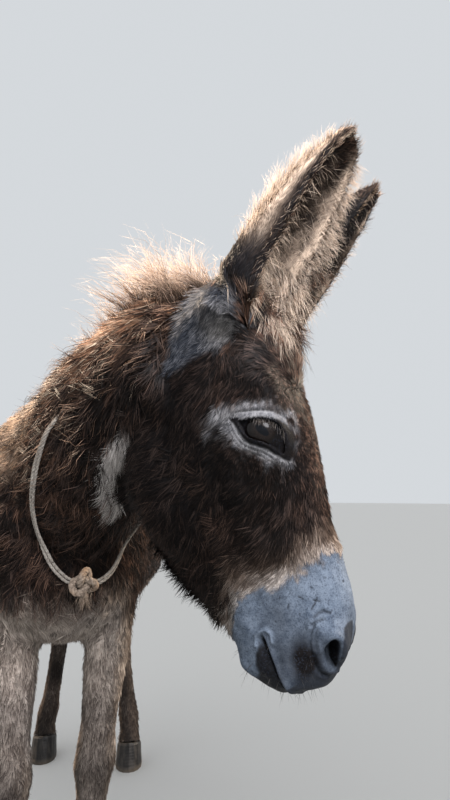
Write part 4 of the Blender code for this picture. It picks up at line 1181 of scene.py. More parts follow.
def make_locks(name, roots, start, pull, length, width, sheet, marks, rng, stations=6, curl=0.25,
               turns=1.5, leader=None, hair=True):
    """Long tapered locks, each a closed three-sided tube that bends by `pull` and curls."""
    count = len(roots)
    phase = rng.random((count, 1)) * 2 * math.pi
    beat = turns * 2 * math.pi * (0.6 + 0.8 * rng.random((count, 1)))
    twist = rng.normal(size=(count, 3))
    if leader is not None:
        phase = phase * 0.15 + phase[leader]
        beat = beat[leader]
        twist = twist * 0.2 + twist[leader]
    aside = unit(np.cross(start, twist))
    other = np.cross(start, aside)
    place, rings = roots.copy(), []
    for k in range(stations):
        t = k / (stations - 1)
        wave = aside * np.cos(phase + beat * t) + other * np.sin(phase + beat * t)
        along_hair = unit(start + pull * t + wave * curl * min(1.0, 2 * t))
        if k < stations - 1:
            first = unit(np.cross(along_hair, aside + 0.01))
            second = np.cross(along_hair, first)
            thick = (width * (0.55 + 0.45 * math.sin(math.pi * min(1.0, t * 1.1 + 0.25))) / 2)[:, None]
            thick = thick * (1.0 - 0.45 * t)
            for turn in (0.0, 2.1, 4.2):
                rings.append(place + first * (thick * math.cos(turn))
                             + second * (thick * 0.6 * math.sin(turn)))
        else:
            rings.append(place.copy())
        place = place + along_hair * (length / (stations - 1))[:, None]
    rows = 3 * (stations - 1) + 1
    spots = np.stack(rings, axis=1).reshape(-1, 3)
    pattern, patch = [(0, 2, 1)], [((0, 0), (0.5, 0), (1, 0))]
    rise = 1.0 / (stations - 1)
    for k in range(stations - 2):
        for j in range(3):
            a, b = 3 * k + j, 3 * k + (j + 1) % 3
            low, high = k * rise, (k + 1) * rise
            left_u, right_u = j / 3, (j + 1) / 3
            pattern += [(a, b, b + 3), (a, b + 3, a + 3)]
            patch += [((left_u, low), (right_u, low), (right_u, high)),
                      ((left_u, low), (right_u, high), (left_u, high))]
    for j in range(3):
        a, b = 3 * (stations - 2) + j, 3 * (stations - 2) + (j + 1) % 3
        pattern.append((a, b, rows - 1))
        patch.append(((j / 3, 1 - rise), ((j + 1) / 3, 1 - rise), ((j + 0.5) / 3, 1)))
    corners = (np.array(pattern)[None] + rows * np.arange(count)[:, None, None]).reshape(-1, 3)
    mesh = mesh_from(spots, corners, name)
    mesh.shade_smooth()
    flat = sheet[:, None, None, :] + (np.array(patch) - 0.5)[None] * PATCH
    layer = mesh.uv_layers.new(name="OFBake")
    layer.uv.foreach_set("vector", flat.astype(np.float32).ravel())
    steps = np.append(np.repeat(np.arange(stations - 1), 3), stations - 1) * rise
    for mark, (at_root, at_tip) in marks.items():
        at_root, at_tip = (np.broadcast_to(values, count)[:, None] for values in (at_root, at_tip))
        add_marks(mesh, {mark: (at_root * (1 - steps) + at_tip * steps).ravel()})
    add_marks(mesh, {"luck": np.repeat(rng.random(count), rows), "reach": np.tile(steps, count)})
    obj = placed(name, mesh)
    if hair:
        finish_coat(obj)
    return obj


def plain_marks(**shares):
    """Marks for locks, each one number or a pair for root and tip; those not named are 0."""
    pairs = {name: shares.get(name, 0.0) for name in MARKS}
    return {name: share if isinstance(share, tuple) else (share, share) for name, share in pairs.items()}


# ---- rope collar ------------------------------------------------------------------------------

# the collar's course round the neck, in the body's own axes
COLLAR_COURSE = [
    (0.056, -0.452, 0.640), (0.004, -0.452, 0.664), (-0.024, -0.486, 0.745), (-0.014, -0.540, 0.830),
    (0.022, -0.585, 0.910), (0.064, -0.598, 0.985), (0.108, -0.592, 1.050), (0.162, -0.556, 0.985),
    (0.186, -0.516, 0.900), (0.172, -0.474, 0.800), (0.138, -0.448, 0.700), (0.098, -0.444, 0.655)]
CORD_RADIUS = 0.0024
CORD_LAY = 0.021                          # length in which a strand winds once round
TWINE_RADIUS = 0.0055
TWINE_LAY = 0.022
KNOT_SCALE = 0.0062                       # a third of the knot's half width
HIDDEN_ABOVE = 0.90                       # over this height the mane and the coat lie over the collar


def collar_path():
    """The middle line of the collar's solid, sampled evenly, with the way out of the coat."""
    course = rounded(np.array(COLLAR_COURSE) + BODY_AT, 10)
    solid = vertex_array(frame["nodes"]["rope_collar"].data)
    line = []
    for before, spot, after in zip(np.roll(course, 1, 0), course, np.roll(course, -1, 0)):
        near = solid - spot
        ahead = unit(after - before)
        chosen = (abs(near @ ahead) < 0.016) & (np.linalg.norm(near, axis=1) < 0.045)
        line.append(solid[chosen].mean(axis=0) if chosen.any() else spot)
    line = np.array(line)
    for _ in range(3):
        line = (np.roll(line, 1, 0) + line * 2 + np.roll(line, -1, 0)) / 4
    return line


def even_line(line, count, closed=True):
    """The line again with `count` points at equal distances."""
    if closed:
        line = np.vstack((line, line[:1]))
    reach = np.concatenate(([0.0], np.cumsum(np.linalg.norm(np.diff(line, axis=0), axis=1))))
    share = np.linspace(0.0, reach[-1], count, endpoint=not closed)
    return np.stack([np.interp(share, reach, line[:, k]) for k in range(3)], axis=1)


COLLAR = even_line(collar_path(), 420)


def rope_clearance(points):
    """0 under the rope collar and 1 away from it."""
    clear = np.ones(len(points))
    near = np.nonzero((points[:, 2] > 0.60) & (head_share(points) < 0.99))[0]
    for chunk in np.array_split(near, max(1, len(near) // 4000)):
        gap = np.linalg.norm(points[chunk][:, None, :] - COLLAR[None, ::4], axis=2).min(axis=1)
        clear[chunk] = step(0.008, 0.022, gap)
    buried = step(HIDDEN_ABOVE - 0.04, HIDDEN_ABOVE + 0.01, body_axes(points)[2])
    return np.maximum(clear, buried)


def tube(line, radius, sides, frame_up):
    """A tube round a closed line of points: its vertices and faces."""
    ahead = unit(np.roll(line, -1, 0) - np.roll(line, 1, 0))
    first = unit(np.cross(ahead, frame_up))
    second = np.cross(ahead, first)
    turns = np.arange(sides) * 2 * math.pi / sides
    ring = first[:, None] * np.cos(turns)[None, :, None] + second[:, None] * np.sin(turns)[None, :, None]
    spots = (line[:, None] + ring * radius).reshape(-1, 3)
    faces = []
    for k in range(len(line)):
        for j in range(sides):
            a, b = k * sides + j, k * sides + (j + 1) % sides
            c, d = (k + 1) % len(line) * sides + j, (k + 1) % len(line) * sides + (j + 1) % sides
            faces += [(a, b, d), (a, d, c)]
    return spots, np.array(faces)


def twisted_cord(line, radius, lay, frame_up):
    """Three strands wound round each other along a closed line: their vertices and faces."""
    ahead = unit(np.roll(line, -1, 0) - np.roll(line, 1, 0))
    first = unit(np.cross(ahead, frame_up))
    second = np.cross(ahead, first)
    gaps = np.linalg.norm(np.diff(line, axis=0), axis=1)
    reach = np.concatenate(([0.0], np.cumsum(gaps)))
    total = reach[-1] + np.linalg.norm(line[0] - line[-1])
    winds = max(1, round(total / lay))
    turn = reach / total * winds * 2 * math.pi
    spots, faces, offset = [], [], 0
    for strand in range(3):
        angle = turn + strand * 2 * math.pi / 3
        path = line + (first * np.cos(angle)[:, None] + second * np.sin(angle)[:, None]) * radius * 0.48
        ring, corners = tube(path, radius * 0.56, 7, frame_up)
        spots.append(ring)
        faces.append(corners + offset)
        offset += len(ring)
    return np.concatenate(spots), np.concatenate(faces)


def rope_finish(name, light, dark, fleck):
    """Old plant fibre, dark between its strands and stained in places."""
    finish = Finish(name, Roughness=0.88, Specular_IOR_Level=0.2)
    strands = finish.noise(260.0, 3.0)
    fibres = finish.noise(1500.0, 2.0)
    stains = finish.noise(28.0, 3.0)
    colour = finish.mix((strands * 0.6 + fibres * 0.5).rise(0.35, 0.75), dark, light)
    colour = finish.mix(stains.rise(0.45, 0.70) * 0.6, colour, fleck)
    finish.to("Base Color", colour)
    finish.bump(fibres * 0.6 + strands * 0.5, 0.6, 0.0008)
    return finish.material


def put_piece(name, spots, faces, material, replaced):
    """A smooth piece that takes the place of one solid."""
    mesh = mesh_from(spots, faces, name)
    mesh.materials.append(material)
    mesh.shade_smooth()
    obj = placed(name, mesh)
    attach(obj, "root")
    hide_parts(replaced)
    return obj


def make_collar(hide):
    """Two turns of twisted cord side by side round the neck."""
    outs = []
    for spot in COLLAR:
        found = hide.tree.find_nearest(Vector(spot))
        outs.append(np.array(Vector(spot) - found[0]))
    outs = unit(np.array(outs))
    for _ in range(8):
        outs = unit(np.roll(outs, 1, 0) + outs * 2 + np.roll(outs, -1, 0))
    ahead = unit(np.roll(COLLAR, -1, 0) - np.roll(COLLAR, 1, 0))
    aside = unit(np.cross(ahead, outs))
    cord = rope_finish("cord", (0.38, 0.35, 0.31), (0.13, 0.11, 0.095), (0.15, 0.115, 0.09))
    sink = 0.0170 * step(HIDDEN_ABOVE - 0.04, HIDDEN_ABOVE + 0.02, body_axes(COLLAR)[2])
    turn = np.linspace(0, 2 * math.pi, len(COLLAR), endpoint=False)
    all_spots, all_faces, offset = [], [], 0
    for shift, wander in ((-1.0, 1.0), (1.0, 4.0)):
        lift = 0.0008 * np.sin(turn * 5 + wander)
        line = COLLAR + aside * (shift * CORD_RADIUS * 1.02) + outs * (lift - sink)[:, None]
        spots, faces = twisted_cord(line, CORD_RADIUS, CORD_LAY, outs)
        all_spots.append(spots)
        all_faces.append(faces + offset)
        offset += len(spots)
    put_piece("rope_collar_cords", np.concatenate(all_spots), np.concatenate(all_faces), cord,
              "rope_collar")


def make_knot(hide):
    """A plain three-crossing knot of thicker twine, with frayed ends that hang from it."""
    low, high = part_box("rope_knot")
    centre = np.array(low + high) / 2
    found = hide.tree.find_nearest(Vector(centre))
    out = unit(centre - np.array(found[0]))
    first = unit(np.cross(out, UP))
    second = np.cross(out, first)
    turn = np.linspace(0, 2 * math.pi, 150, endpoint=False)
    x = np.sin(turn) + 2 * np.sin(2 * turn)
    y = np.cos(turn) - 2 * np.cos(2 * turn)
    z = -1.15 * np.sin(3 * turn)
    line = centre + (np.outer(x, first) + np.outer(y, second) + np.outer(z, out)) * KNOT_SCALE
    twine = rope_finish("knotted_twine", (0.34, 0.27, 0.215), (0.10, 0.075, 0.055), (0.30, 0.18, 0.10))
    spots, faces = twisted_cord(line, TWINE_RADIUS, TWINE_LAY, np.broadcast_to(out, line.shape))
    put_piece("rope_knot_turns", spots, faces, twine, "rope_knot")
    rng = np.random.default_rng(61)
    count = 90
    spread = rng.normal(0.0, 1.0, (count, 3)) * 0.0035
    roots = centre + spread - UP * 0.012 + out * 0.004
    start = unit(-UP + rng.normal(0.0, 0.28, (count, 3)) + out * 0.2)
    pull = rng.normal(0.0, 0.35, (count, 3)) - UP * 0.3
    fray = make_locks("rope_frayed_ends", roots, start, pull, 0.012 + 0.022 * rng.random(count),
                      np.full(count, 0.0009), np.full((count, 2), 0.5), plain_marks(), rng,
                      6, 0.35, 1.2, hair=False)
    fray.data.materials.append(twine)
    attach(fray, "root")


# ---- eyes -------------------------------------------------------------------------------------

def eye_finish():
    """A dark brown eye with a lying oval pupil, wet all over."""
    finish = Finish("wet_eye", Roughness=0.30, Coat_Weight=0.35, Coat_Roughness=0.02,
                    Specular_IOR_Level=0.05)
    across = finish.attribute("eye_across")
    up = finish.attribute("eye_up")
    reach = (across * across + up * up) ** 0.5
    pupil = 1.0 - ((across / 0.40) ** 2.0 + (up / 0.20) ** 2.0).rise(0.72, 1.15)
    rays = finish.node("ShaderNodeMath", {"operation": "ARCTAN2"}, (up, across))
    where = finish.node("ShaderNodeCombineXYZ", None, {"X": rays * 7.0, "Y": reach * 2.0})
    threads = finish.node("ShaderNodeTexNoise", None, {"Vector": where, "Scale": 3.0, "Detail": 4.0})
    colour = finish.mix(threads.rise(0.30, 0.72), (0.006, 0.004, 0.004), (0.018, 0.013, 0.011))
    colour = finish.mix(reach.rise(0.42, 0.62), colour, (0.005, 0.003, 0.0025))
    colour = finish.mix(pupil, colour, (0.002, 0.0025, 0.004))
    colour = finish.mix(reach.rise(0.60, 0.70), colour, (0.004, 0.003, 0.003))
    finish.to("Base Color", colour)
    return finish.material


def make_eyes():
    """Two wet balls, each turned along its own gaze."""
    shine = eye_finish()
    for name, side in SIDES.items():
        centre = on_head(EYE_AT[0], EYE_AT[1], side * EYE_AT[2])
        gaze = unit(LEFT * side + FRONT * 0.22 + ALONG * 0.10)
        corner = ALONG * math.cos(EYE_SLANT) + FRONT * math.sin(EYE_SLANT)
        across = unit(corner - gaze * (corner @ gaze))
        up = np.cross(gaze, across)
        columns, rows = 64, 40
        tilt = np.linspace(0.0, math.pi, rows + 1)[1:-1]
        turn = np.arange(columns) * 2 * math.pi / columns
        bulge = EYE_RADIUS + CORNEA * step(0.66, 0.30, tilt)
        ring = np.cos(turn)[None, :, None] * across + np.sin(turn)[None, :, None] * up
        spots = (np.cos(tilt) * bulge)[:, None, None] * gaze
        spots = spots + (np.sin(tilt) * bulge)[:, None, None] * ring
        spots = np.vstack((spots.reshape(-1, 3), gaze * (EYE_RADIUS + CORNEA), -gaze * EYE_RADIUS))
        faces = []
        for k in range(rows - 2):
            for j in range(columns):
                a, b = k * columns + j, k * columns + (j + 1) % columns
                faces += [(a, a + columns, b + columns), (a, b + columns, b)]
        top, bottom = len(spots) - 2, len(spots) - 1
        last = (rows - 2) * columns
        faces += [(j, (j + 1) % columns, top) for j in range(columns)]
        faces += [(last + (j + 1) % columns, last + j, bottom) for j in range(columns)]
        made = put_piece("eyeball_" + name, spots + centre, np.array(faces)[:, ::-1], shine,
                         "eye_" + name)
        # the back of the ball counts as far outside the iris
        ahead = np.where(spots @ gaze > 0, 1.0, 3.0)
        add_marks(made.data, {"eye_across": spots @ across / EYE_RADIUS * ahead,
                              "eye_up": spots @ up / EYE_RADIUS * ahead})


# ---- hooves -----------------------------------------------------------------------------------

def horn_finish():
    """Dark horn with faint growth rings, dusty near the ground."""
    finish = Finish("horn", Specular_IOR_Level=0.25)
    height = finish.node("ShaderNodeSeparateXYZ", None, (finish.place(),), 2)
    wander = finish.noise(18.0, 3.0)
    rings = finish.node("ShaderNodeMath", {"operation": "SINE"}, (height * 900.0 + wander * 9.0,))
    grain = finish.noise(90.0, 5.0, (1.0, 1.0, 0.30))
    colour = finish.mix(grain.rise(0.35, 0.70), (0.009, 0.008, 0.0075), (0.032, 0.028, 0.025))
    colour = finish.mix(rings.rise(-0.6, 1.0) * 0.15, colour, (0.020, 0.018, 0.017))
    dust = height.rise(0.016, 0.001) * (0.1 + wander * 0.5)
    colour = finish.mix(dust, colour, (0.16, 0.13, 0.10))
    finish.to("Base Color", colour)
    finish.to("Roughness", 0.45 + dust * 0.4)
    finish.bump(rings * 0.15 + grain * 0.85, 0.5, 0.0012)
    return finish.material


# ---- the hair, piece by piece -----------------------------------------------------------------

def grow_coat(hide):
    """The short coat, in pieces that each cover one part of the skin."""
    middle = hide.middle
    along, front, left = head_axes(middle)
    across, back, height = body_axes(middle)
    head = head_share(middle) > 0.5
    ear = ear_share(middle) > 0.3
    low = height < 0.52
    neck = (back < -0.22) & ~low
    past = past_hairline(along, front)
    bare = head & (past > 0.020)
    lids = head & (edge_distance(along, front, MARGIN)[0] < 0.001) & (abs(left) > 0.055)
    by_eye = step(0.060, 0.025, np.hypot(along - 0.19, front - 0.013)) * head
    dense = 1.0 + 2.2 * (ear | head) + 0.8 * by_eye
    dense = dense * np.where(head, step(0.020, -0.006, past), 1.0)
    # name, where it grows, tufts, tufts to a lock, how far a lock's tips draw together
    plan = [
        ("coat_face_right", head & ~ear & (left < 0) & ~bare & ~lids, 48000, 9, 0.28),
        ("coat_face_left", head & ~ear & (left >= 0) & ~bare & ~lids, 22000, 9, 0.28),
        ("coat_ears", ear, 19000, 7, 0.20),
        ("coat_neck_right", neck & ~head & ~ear & (across < 0.06), 47000, 10, 0.35),
        ("coat_neck_left", neck & ~head & ~ear & (across >= 0.06), 14000, 11, 0.30),
        ("coat_flank_right", ~neck & ~head & ~ear & ~low & (across < 0), 19000, 9, 0.30),
        ("coat_flank_left", ~neck & ~head & ~ear & ~low & (across >= 0), 19000, 9, 0.30),
        ("coat_forelegs", ~head & ~ear & low & (back < 0), 22000, 6, 0.12),
        ("coat_hindlegs", ~head & ~ear & low & (back >= 0), 13000, 6, 0.15),
    ]
    for seed, (name, area, count, group, gather) in enumerate(plan):
        rng = np.random.default_rng(100 + seed)
        chosen = np.nonzero(area)[0]
        roots, normals, sheet = hide.scatter(rng, chosen, dense[chosen], count)
        make_tufts(name, roots, normals, sheet, rng, group, gather)


def grow_neck_curls(hide):
    """Long curling strands over the shaggy coat of the neck and shoulders."""
    middle = hide.middle
    across, back, height = body_axes(middle)
    back = back + 0.06 * clouds(middle, 0.070, 5.0) + 0.03 * clouds(middle, 0.025, 6.0)
    area = (back < -0.18) & (height > 0.62) & (head_share(middle) < 0.3) & (ear_share(middle) < 0.1)
    for seed, (name, wanted, count) in enumerate((("neck_curls_right", area & (across < 0.06), 8200),
                                                  ("neck_curls_left", area & (across >= 0.06), 2700))):
        rng = np.random.default_rng(70 + seed)
        chosen = np.nonzero(wanted)[0]
        roots, normals, sheet = hide.scatter(rng, chosen, np.ones(len(chosen)), count)
        keep = rope_clearance(roots) > 0.9
        roots, normals, sheet = roots[keep], normals[keep], sheet[keep]
        count = len(roots)
        _, back, height = body_axes(roots)
        tall = step(0.70, 1.00, height)
        leader = nearest_leader(roots, 11, rng)
        stray = rng.normal(0.0, 0.30, (count, 3))
        stray = stray * 0.35 + stray[leader]
        lie = lie_of_coat(roots, normals)
        start = unit(lie + normals * 0.50 + stray * 0.9)
        pull = stray * 0.4 - normals * 0.95 - UP * 0.20
        length = (0.038 + 0.022 * rng.random(count)) * step(-0.08, -0.28, back).clip(0.35)
        own = rng.random(count) * 0.4 + rng.random(count)[leader] * 0.6
        tips = np.clip(own * 1.8 - 0.45, 0, 1) * (0.50 + 0.50 * tall)
        marks = plain_marks(rust=(tips * 0.4, tips * 0.95), tan=(0.0, 0.30 * tips * tall),
                            ink=(0.5, 0.35 * (own < 0.4)), bleach=(0.0, tips))
        make_locks(name, roots, start, pull, length, 0.0010 + 0.0008 * rng.random(count), sheet,
                   marks, rng, 4, 0.55, 1.0, leader)


ABOVE_BACK = 1.4                          # a height over all of the donkey


def grow_mane(hide):
    """The mane on the crest of the neck, from between the ears to the withers."""
    rng = np.random.default_rng(41)
    start = on_head(0.004, -0.026, 0.0) - BODY_AT
    crest = [start[:2], (0.150, -0.622), (0.098, -0.540), (0.052, -0.455), (0.016, -0.345), (0.0, -0.225)]
    line = even_line(np.array([(*place, ABOVE_BACK) for place in crest]) + BODY_AT, 200, closed=False)
    count = 4600
    share = rng.random(count)
    spot = np.stack([np.interp(share * 199, np.arange(200), line[:, k]) for k in range(3)], axis=1)
    ahead = unit(np.gradient(line, axis=0))[(share * 199).astype(int)]
    aside = np.cross(ahead, UP)
    spot = spot + aside * rng.normal(0.0, 0.014, (count, 1))
    spot, _, sheet = hide.drop(spot)
    leader = nearest_leader(spot, 12, rng)
    lean = rng.normal(0.15, 0.80, (count, 1))
    lean = lean * 0.45 + lean[leader] * 0.75 + 0.7 * clouds(spot, 0.030, 5.0)[:, None]
    toss = rng.normal(size=(count, 1))
    toss = toss * 0.3 + toss[leader] * 0.5
    start = unit(UP + aside * lean * 0.7 + ahead * (0.20 + 0.5 * toss))
    pull = aside * lean * 0.9 + ahead * 0.5 - UP * (0.55 + 0.5 * abs(lean))
    tall = np.interp(share, (0.0, 0.10, 0.26, 0.48, 0.75, 1.0),
                     (0.070, 0.115, 0.100, 0.048, 0.028, 0.026))
    length = tall * (0.55 + 0.65 * rng.random(count))
    luck = rng.random(count)
    # the bright tan tips are partly the mane's own colour and partly painted backlight
    marks = plain_marks(rust=(0.7, 1.0), tan=(0.20, np.clip(0.65 + luck, 0, 1)),
                        ink=(0.20 * (1 - luck), 0.0), bleach=(0.2, 0.7 + 0.3 * luck))
    mane = make_locks("mane_locks", spot, start, pull, length, 0.0007 + 0.0007 * rng.random(count), sheet,
                      marks, rng, 5, 0.50, 1.2, leader)
    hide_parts("mane")


def grow_forelock(hide):
    """Short unruly locks between the ears and down the brow."""
    rng = np.random.default_rng(42)
    count = 1500
    spot = (POLL + np.outer(rng.uniform(-0.015, 0.070, count), ALONG) + FRONT * 0.20
            + np.outer(rng.normal(0.0, 0.020, count), LEFT))
    spot, normals, sheet = hide.drop(spot, -FRONT)
    left = head_axes(spot)[2][:, None]
    leader = nearest_leader(spot, 8, rng)
    stray = rng.normal(0.0, 0.40, (count, 3))
    stray = stray * 0.7 + stray[leader] * 0.5
    start = unit(normals * 0.6 + ALONG * 0.5 + stray)
    pull = ALONG * 1.2 - normals * 0.9 + LEFT * left * 8 + stray
    length = 0.022 + 0.022 * rng.random(count)
    luck = rng.random(count)
    marks = plain_marks(rust=(0.3, np.clip(luck * 1.5 - 0.2, 0, 1)), ink=(0.5, 0.2 * (luck < 0.4)),
                        bleach=(0.0, 0.5 * luck))
    make_locks("forelock", spot, start, pull, length, 0.0007 + 0.0005 * rng.random(count), sheet,
               marks, rng, 4, 0.60, 1.1)


def ear_areas(middle, cup):
    """The parts of an ear's hair: where each grows on the skin, and how many locks it has."""
    share, turn, depth = cup.place(middle)
    ear = ear_share(middle)
    mine = (ear > 0.05) & (abs(depth) < 0.02) & (share > 0.03) & (share < 1.1)
    back = mine & (depth < 0) & (turn > -0.30) & (turn < 0.62)
    foot = (ear > 0.01) & (abs(depth) < 0.011) & (depth > -0.002) & (turn > -1.05) & (turn < 0.45)
    return [("rolled_edge", mine & (turn > 0.84) & (share > 0.08) & (share < 0.95), 600),
            ("back_frizz", back & (share > 0.28) & (share < 0.90), 1700),
            ("inner_edge", mine & (turn < -0.82) & (share < 0.93), 1900),
            ("cup_hair", mine & (depth > 0.001) & (turn > -0.75) & (turn < 0.95) & (share < 0.84), 2400),
            ("tip_hair", mine & (share > 0.82), 450),
            ("foot_locks", foot & (share > 0.02) & (share < 0.36), 1100)]


def grow_ear_hair(hide, name, cup, seed):
    """Fringes along both edges of an ear, frizz on its back, hair across its cup, locks at its foot."""
    rng = np.random.default_rng(seed)
    far = name == "left"
    for part, area, count in ear_areas(hide.middle, cup):
        chosen = np.nonzero(area)[0]
        count = count * (0.7 if far else 1.0)
        roots, normals, sheet = hide.scatter(rng, chosen, np.ones(len(chosen)), count)
        count = len(roots)
        reach, around, _ = cup.place(roots)
        out, onward = cup.around(reach, around)
        leader = nearest_leader(roots, 6, rng)
        stray = rng.normal(0.0, 0.24, (count, 3))
        stray = stray * 0.6 + stray[leader] * 0.7
        luck = rng.random(count)
        curl, turns, stations, thick = 0.30, 0.9, 4, 1.0
        if part == "rolled_edge":
            start = onward * 0.35 + out * 0.30 + cup.axis * 0.75 + stray
            pull = cup.axis * 0.2 - out * 0.3 + stray * 0.5
            length = (0.007 + 0.005 * rng.random(count)) * (1.5 if far else 1.0)
            light = (luck > (0.10 if far else 0.72)) * step(0.92, 0.75, reach)
            marks = plain_marks(rust=(0.4, 0.7), ink=(0.5 * (1 - light), 0.35 * (1 - light)),
                                tan=(0.5 * light, 0.9 * light), bleach=(0.3 * light, light))
        elif part == "back_frizz":
            curl = 0.45
            start = out * 0.42 + cup.axis * 0.75 + stray
            pull = -out * 0.25 + cup.axis * 0.1 + stray
            length = (0.015 + 0.016 * rng.random(count)) * (0.6 + 0.6 * hump(reach, 0.55, 0.25))
            marks = plain_marks(tan=(0.75, 0.95), pale=(0.0, 0.25 * luck), bleach=(0.4, 1.0))
        elif part == "inner_edge":
            curl, turns = 0.45, 1.2
            foot = step(0.42, 0.08, reach)[:, None]
            start = -onward * 0.95 + cup.opening * 0.35 - cup.axis * (0.10 + 0.3 * foot) + stray
            pull = cup.opening * 0.35 - cup.axis * 0.35 - UP * (0.35 + 1.0 * foot) + stray
            length = (0.013 + 0.015 * rng.random(count)) * (1 + foot[:, 0])
            dark = 0.95 * far * (luck > 0.06)
            light = 1 - dark
            marks = plain_marks(tan=(0.80 * light, 0.95 * light), pale=(0.10 * light, 0.25 * light),
                                ink=dark, bleach=(0.7 * light, light))
        elif part == "cup_hair":
            foot = step(0.34, 0.08, reach)[:, None]
            start = cup.opening * 0.50 - cup.across * 0.50 - cup.axis * 0.15 - out * 0.15 + stray
            pull = -cup.across * 0.55 - cup.opening * 0.25 - UP * (0.55 + 0.4 * foot) + stray
            length = 0.016 + 0.012 * rng.random(count) + 0.008 * foot[:, 0]
            stripe = step(0.0, 0.45, clouds(roots, 0.014, 13.0)) * step(0.30, 0.45, reach)
            deep = stripe + 0.6 * step(-0.65, -0.35, around) * step(0.35, 0.55, reach)
            deep = np.clip(deep + step(0.72, 0.86, reach), 0.0, 1.0) * (luck < 0.8)
            # painted shade: the cup's hair is dark from its back out to near its outer rim
            deep = np.maximum(deep, step(-0.05, 0.20, around) * (around < 0.76))
            marks = plain_marks(tan=(0.8 - 0.75 * deep, 0.95 - 0.75 * deep), rust=0.4 * deep,
                                pale=(0.0, 0.15 * (1 - deep)), ink=(0.8 * deep, 0.65 * deep),
                                bleach=(0.6 - 0.6 * deep, 1.0 - 0.9 * deep))
        elif part == "tip_hair":
            start = cup.axis * 0.9 + normals * 0.35 + stray
            pull = cup.axis * 0.3 - normals * 0.3
            length = 0.009 + 0.006 * rng.random(count)
            edge = 0.5 * (abs(around) > 0.6)
            marks = plain_marks(rust=(0.4, 0.8), ink=(0.3, 0.0), tan=(0.0, edge), bleach=(0.0, edge))
        else:
            turns, stations, thick = 1.2, 5, 1.3
            start = cup.opening * 0.75 - cup.axis * 0.35 + stray * 0.7
            pull = -UP * 1.4 - cup.across * 0.15 + cup.opening * 0.1 + stray * 0.5
            length = 0.032 + 0.030 * rng.random(count)
            marks = plain_marks(tan=(0.80, 0.92), pale=(0.15, 0.30), bleach=(0.7, 1.0))
        width = (0.00055 + 0.0004 * rng.random(count)) * thick
        make_locks(f"ear_{name}_{part}", roots, unit(start), pull, length, width, sheet, marks, rng,
                   stations, curl, turns, leader)


def grow_ear_wisp(hide):
    """A few long pale hairs that lie loose across the foot of the right ear."""
    rng = np.random.default_rng(49)
    count = 14
    spread = rng.normal(0.0, 0.0022, (count, 2))
    roots = np.array([on_head(0.012 + a, -0.006 + b, -0.13) for a, b in spread])
    roots, normals, sheet = hide.drop(roots, LEFT)
    way = unit(0.014 * ALONG + 0.036 * FRONT)
    start = unit(way + normals * 0.35 + rng.normal(0.0, 0.10, (count, 3)))
    pull = ALONG * 0.25 - normals * 0.55 + rng.normal(0.0, 0.12, (count, 3))
    make_locks("ear_wisp", roots, start, pull, 0.040 + 0.022 * rng.random(count), np.full(count, 0.0011),
               sheet, plain_marks(tan=0.6, pale=0.7, bleach=1.0), rng, 8, 0.28, 1.6)


def grow_cheek_streak(hide):
    """Pale hair on the throat, behind each jowl."""
    rng = np.random.default_rng(45)
    along = head_axes(hide.middle)[0]
    chosen = np.nonzero((throat_gap(hide.middle) < 0.0115) & (along > 0.130))[0]
    roots, normals, sheet = hide.scatter(rng, chosen, np.ones(len(chosen)), 1900)
    count = len(roots)
    lie = flat_to(normals, ALONG * 0.8 - FRONT * 0.6 + np.zeros((count, 3)))
    start = unit(lie + normals * 0.45 + rng.normal(0.0, 0.12, (count, 3)))
    pull = lie * 0.3 - normals * 0.55 - UP * 0.1
    make_locks("cheek_streaks", roots, start, pull, 0.024 + 0.016 * rng.random(count),
               0.0006 + 0.0004 * rng.random(count), sheet,
               plain_marks(pale=(0.7, 1.0), bleach=(0.3, 0.6 + 0.4 * rng.random(count))), rng, 4, 0.15, 1.0)


def grow_tail(hide):
    """The tuft of long dark hair on the end of the tail."""
    rng = np.random.default_rng(46)
    across, back, height = body_axes(hide.middle)
    chosen = np.nonzero((back > 0.59) & (height < 0.72) & (abs(across) < 0.05))[0]
    roots, normals, sheet = hide.scatter(rng, chosen, step(0.76, 0.58, height[chosen]) + 0.05, 1500)
    count = len(roots)
    height = body_axes(roots)[2]
    out = unit(normals * (1.0, 0.45, 0.0) + 1e-6)
    start = unit(out * 0.30 - UP + rng.normal(0.0, 0.05, (count, 3)))
    pull = -UP * 1.2 - out * 0.55 + rng.normal(0.0, 0.05, (count, 3))
    length = np.minimum(0.10 + 0.18 * rng.random(count), height - 0.305)
    shade = rng.random(count)
    marks = plain_marks(ink=(0.75, 0.75 - 0.4 * shade), rust=(0.0, 0.35 * shade))
    tail = make_locks("tail_switch", roots, start, pull, length, 0.0017 + 0.0012 * rng.random(count), sheet,
                      marks, rng, 6, 0.10, 1.5)
    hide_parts("tail_tuft")


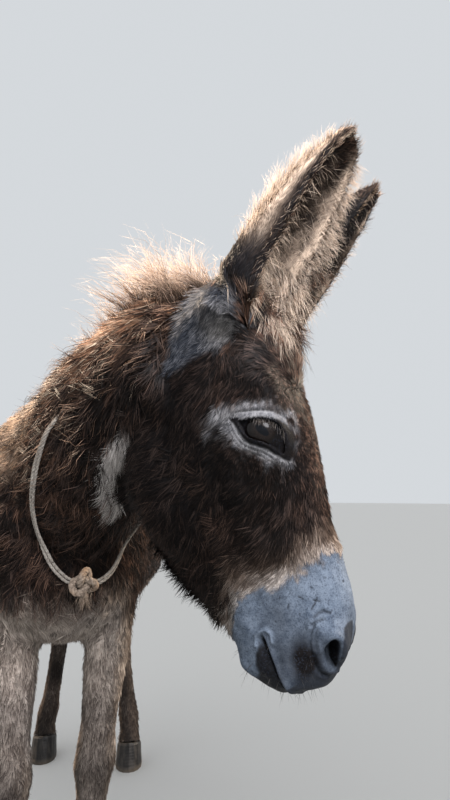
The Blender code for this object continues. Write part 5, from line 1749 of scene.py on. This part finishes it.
def grow_lashes():
    """Upper lashes along the lid of each eye."""
    rng = np.random.default_rng(47)
    count = 46
    line = eye_outline([(-1.2, 0.62), (-0.5, 1.12), (0.5, 1.66), (1.5, 1.62), (2.3, 1.05)])
    reach = np.linspace(0, 4, count)
    for name, side in SIDES.items():
        along = np.interp(reach, np.arange(5), line[:, 0])
        front = np.interp(reach, np.arange(5), line[:, 1])
        gap = np.hypot(along - EYE_AT[0], front - EYE_AT[1])
        left = EYE_AT[2] + np.sqrt(np.clip(EYE_RADIUS ** 2 - gap ** 2, 1e-5, None)) + 0.0030
        roots = np.array([on_head(a, f, side * s) for a, f, s in zip(along, front, left)])
        start = unit(LEFT * side * 0.8 + ALONG * 0.45 + rng.normal(0.0, 0.12, (count, 3)))
        pull = ALONG * 0.7 + rng.normal(0.0, 0.15, (count, 3))
        make_locks("lashes_" + name, roots, start, pull, 0.012 + 0.006 * rng.random(count),
                   np.full(count, 0.00045), np.full((count, 2), 0.5), plain_marks(pale=0.5, ink=0.2), rng,
                   5, 0.05, 0.5)


def grow_whiskers(hide):
    """Stiff single hairs on the lips and the chin."""
    rng = np.random.default_rng(48)
    along, front, left = head_axes(hide.middle)
    chosen = np.nonzero((along > 0.40) & (along < 0.47) & (abs(left) < 0.06) & (front < 0.00)
                        & (front > -0.095))[0]
    roots, normals, sheet = hide.scatter(rng, chosen, np.ones(len(chosen)), 110)
    count = len(roots)
    start = unit(normals + ALONG * 0.35 + rng.normal(0.0, 0.2, (count, 3)))
    pull = ALONG * 0.4 + rng.normal(0.0, 0.2, (count, 3))
    make_locks("whiskers", roots, start, pull, 0.007 + 0.014 * rng.random(count), np.full(count, 0.00035),
               sheet, plain_marks(pale=0.6, ink=0.2), rng, 4, 0.05, 0.5)


# ---- the donkey -------------------------------------------------------------------------------

set_camera()
set_studio()
skin = make_skin()
add_marks(skin.data, markings(vertex_array(skin.data), normal_array(skin.data)))
skin.data.materials.clear()
skin.data.materials.append(skin_finish())
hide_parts(*FLESH)
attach(skin, "root")
hide = Hide(skin.data)
grow_coat(hide)
grow_neck_curls(hide)
grow_mane(hide)
grow_forelock(hide)
for seed, (name, cup) in enumerate(EARS.items()):
    grow_ear_hair(hide, name, cup, 51 + seed)
grow_ear_wisp(hide)
grow_cheek_streak(hide)
grow_tail(hide)
grow_lashes()
grow_whiskers(hide)
make_eyes()
make_collar(hide)
make_knot(hide)
horn = horn_finish()
for name, obj in frame["nodes"].items():
    if name.startswith("hoof"):
        obj.data.materials.clear()
        obj.data.materials.append(horn)
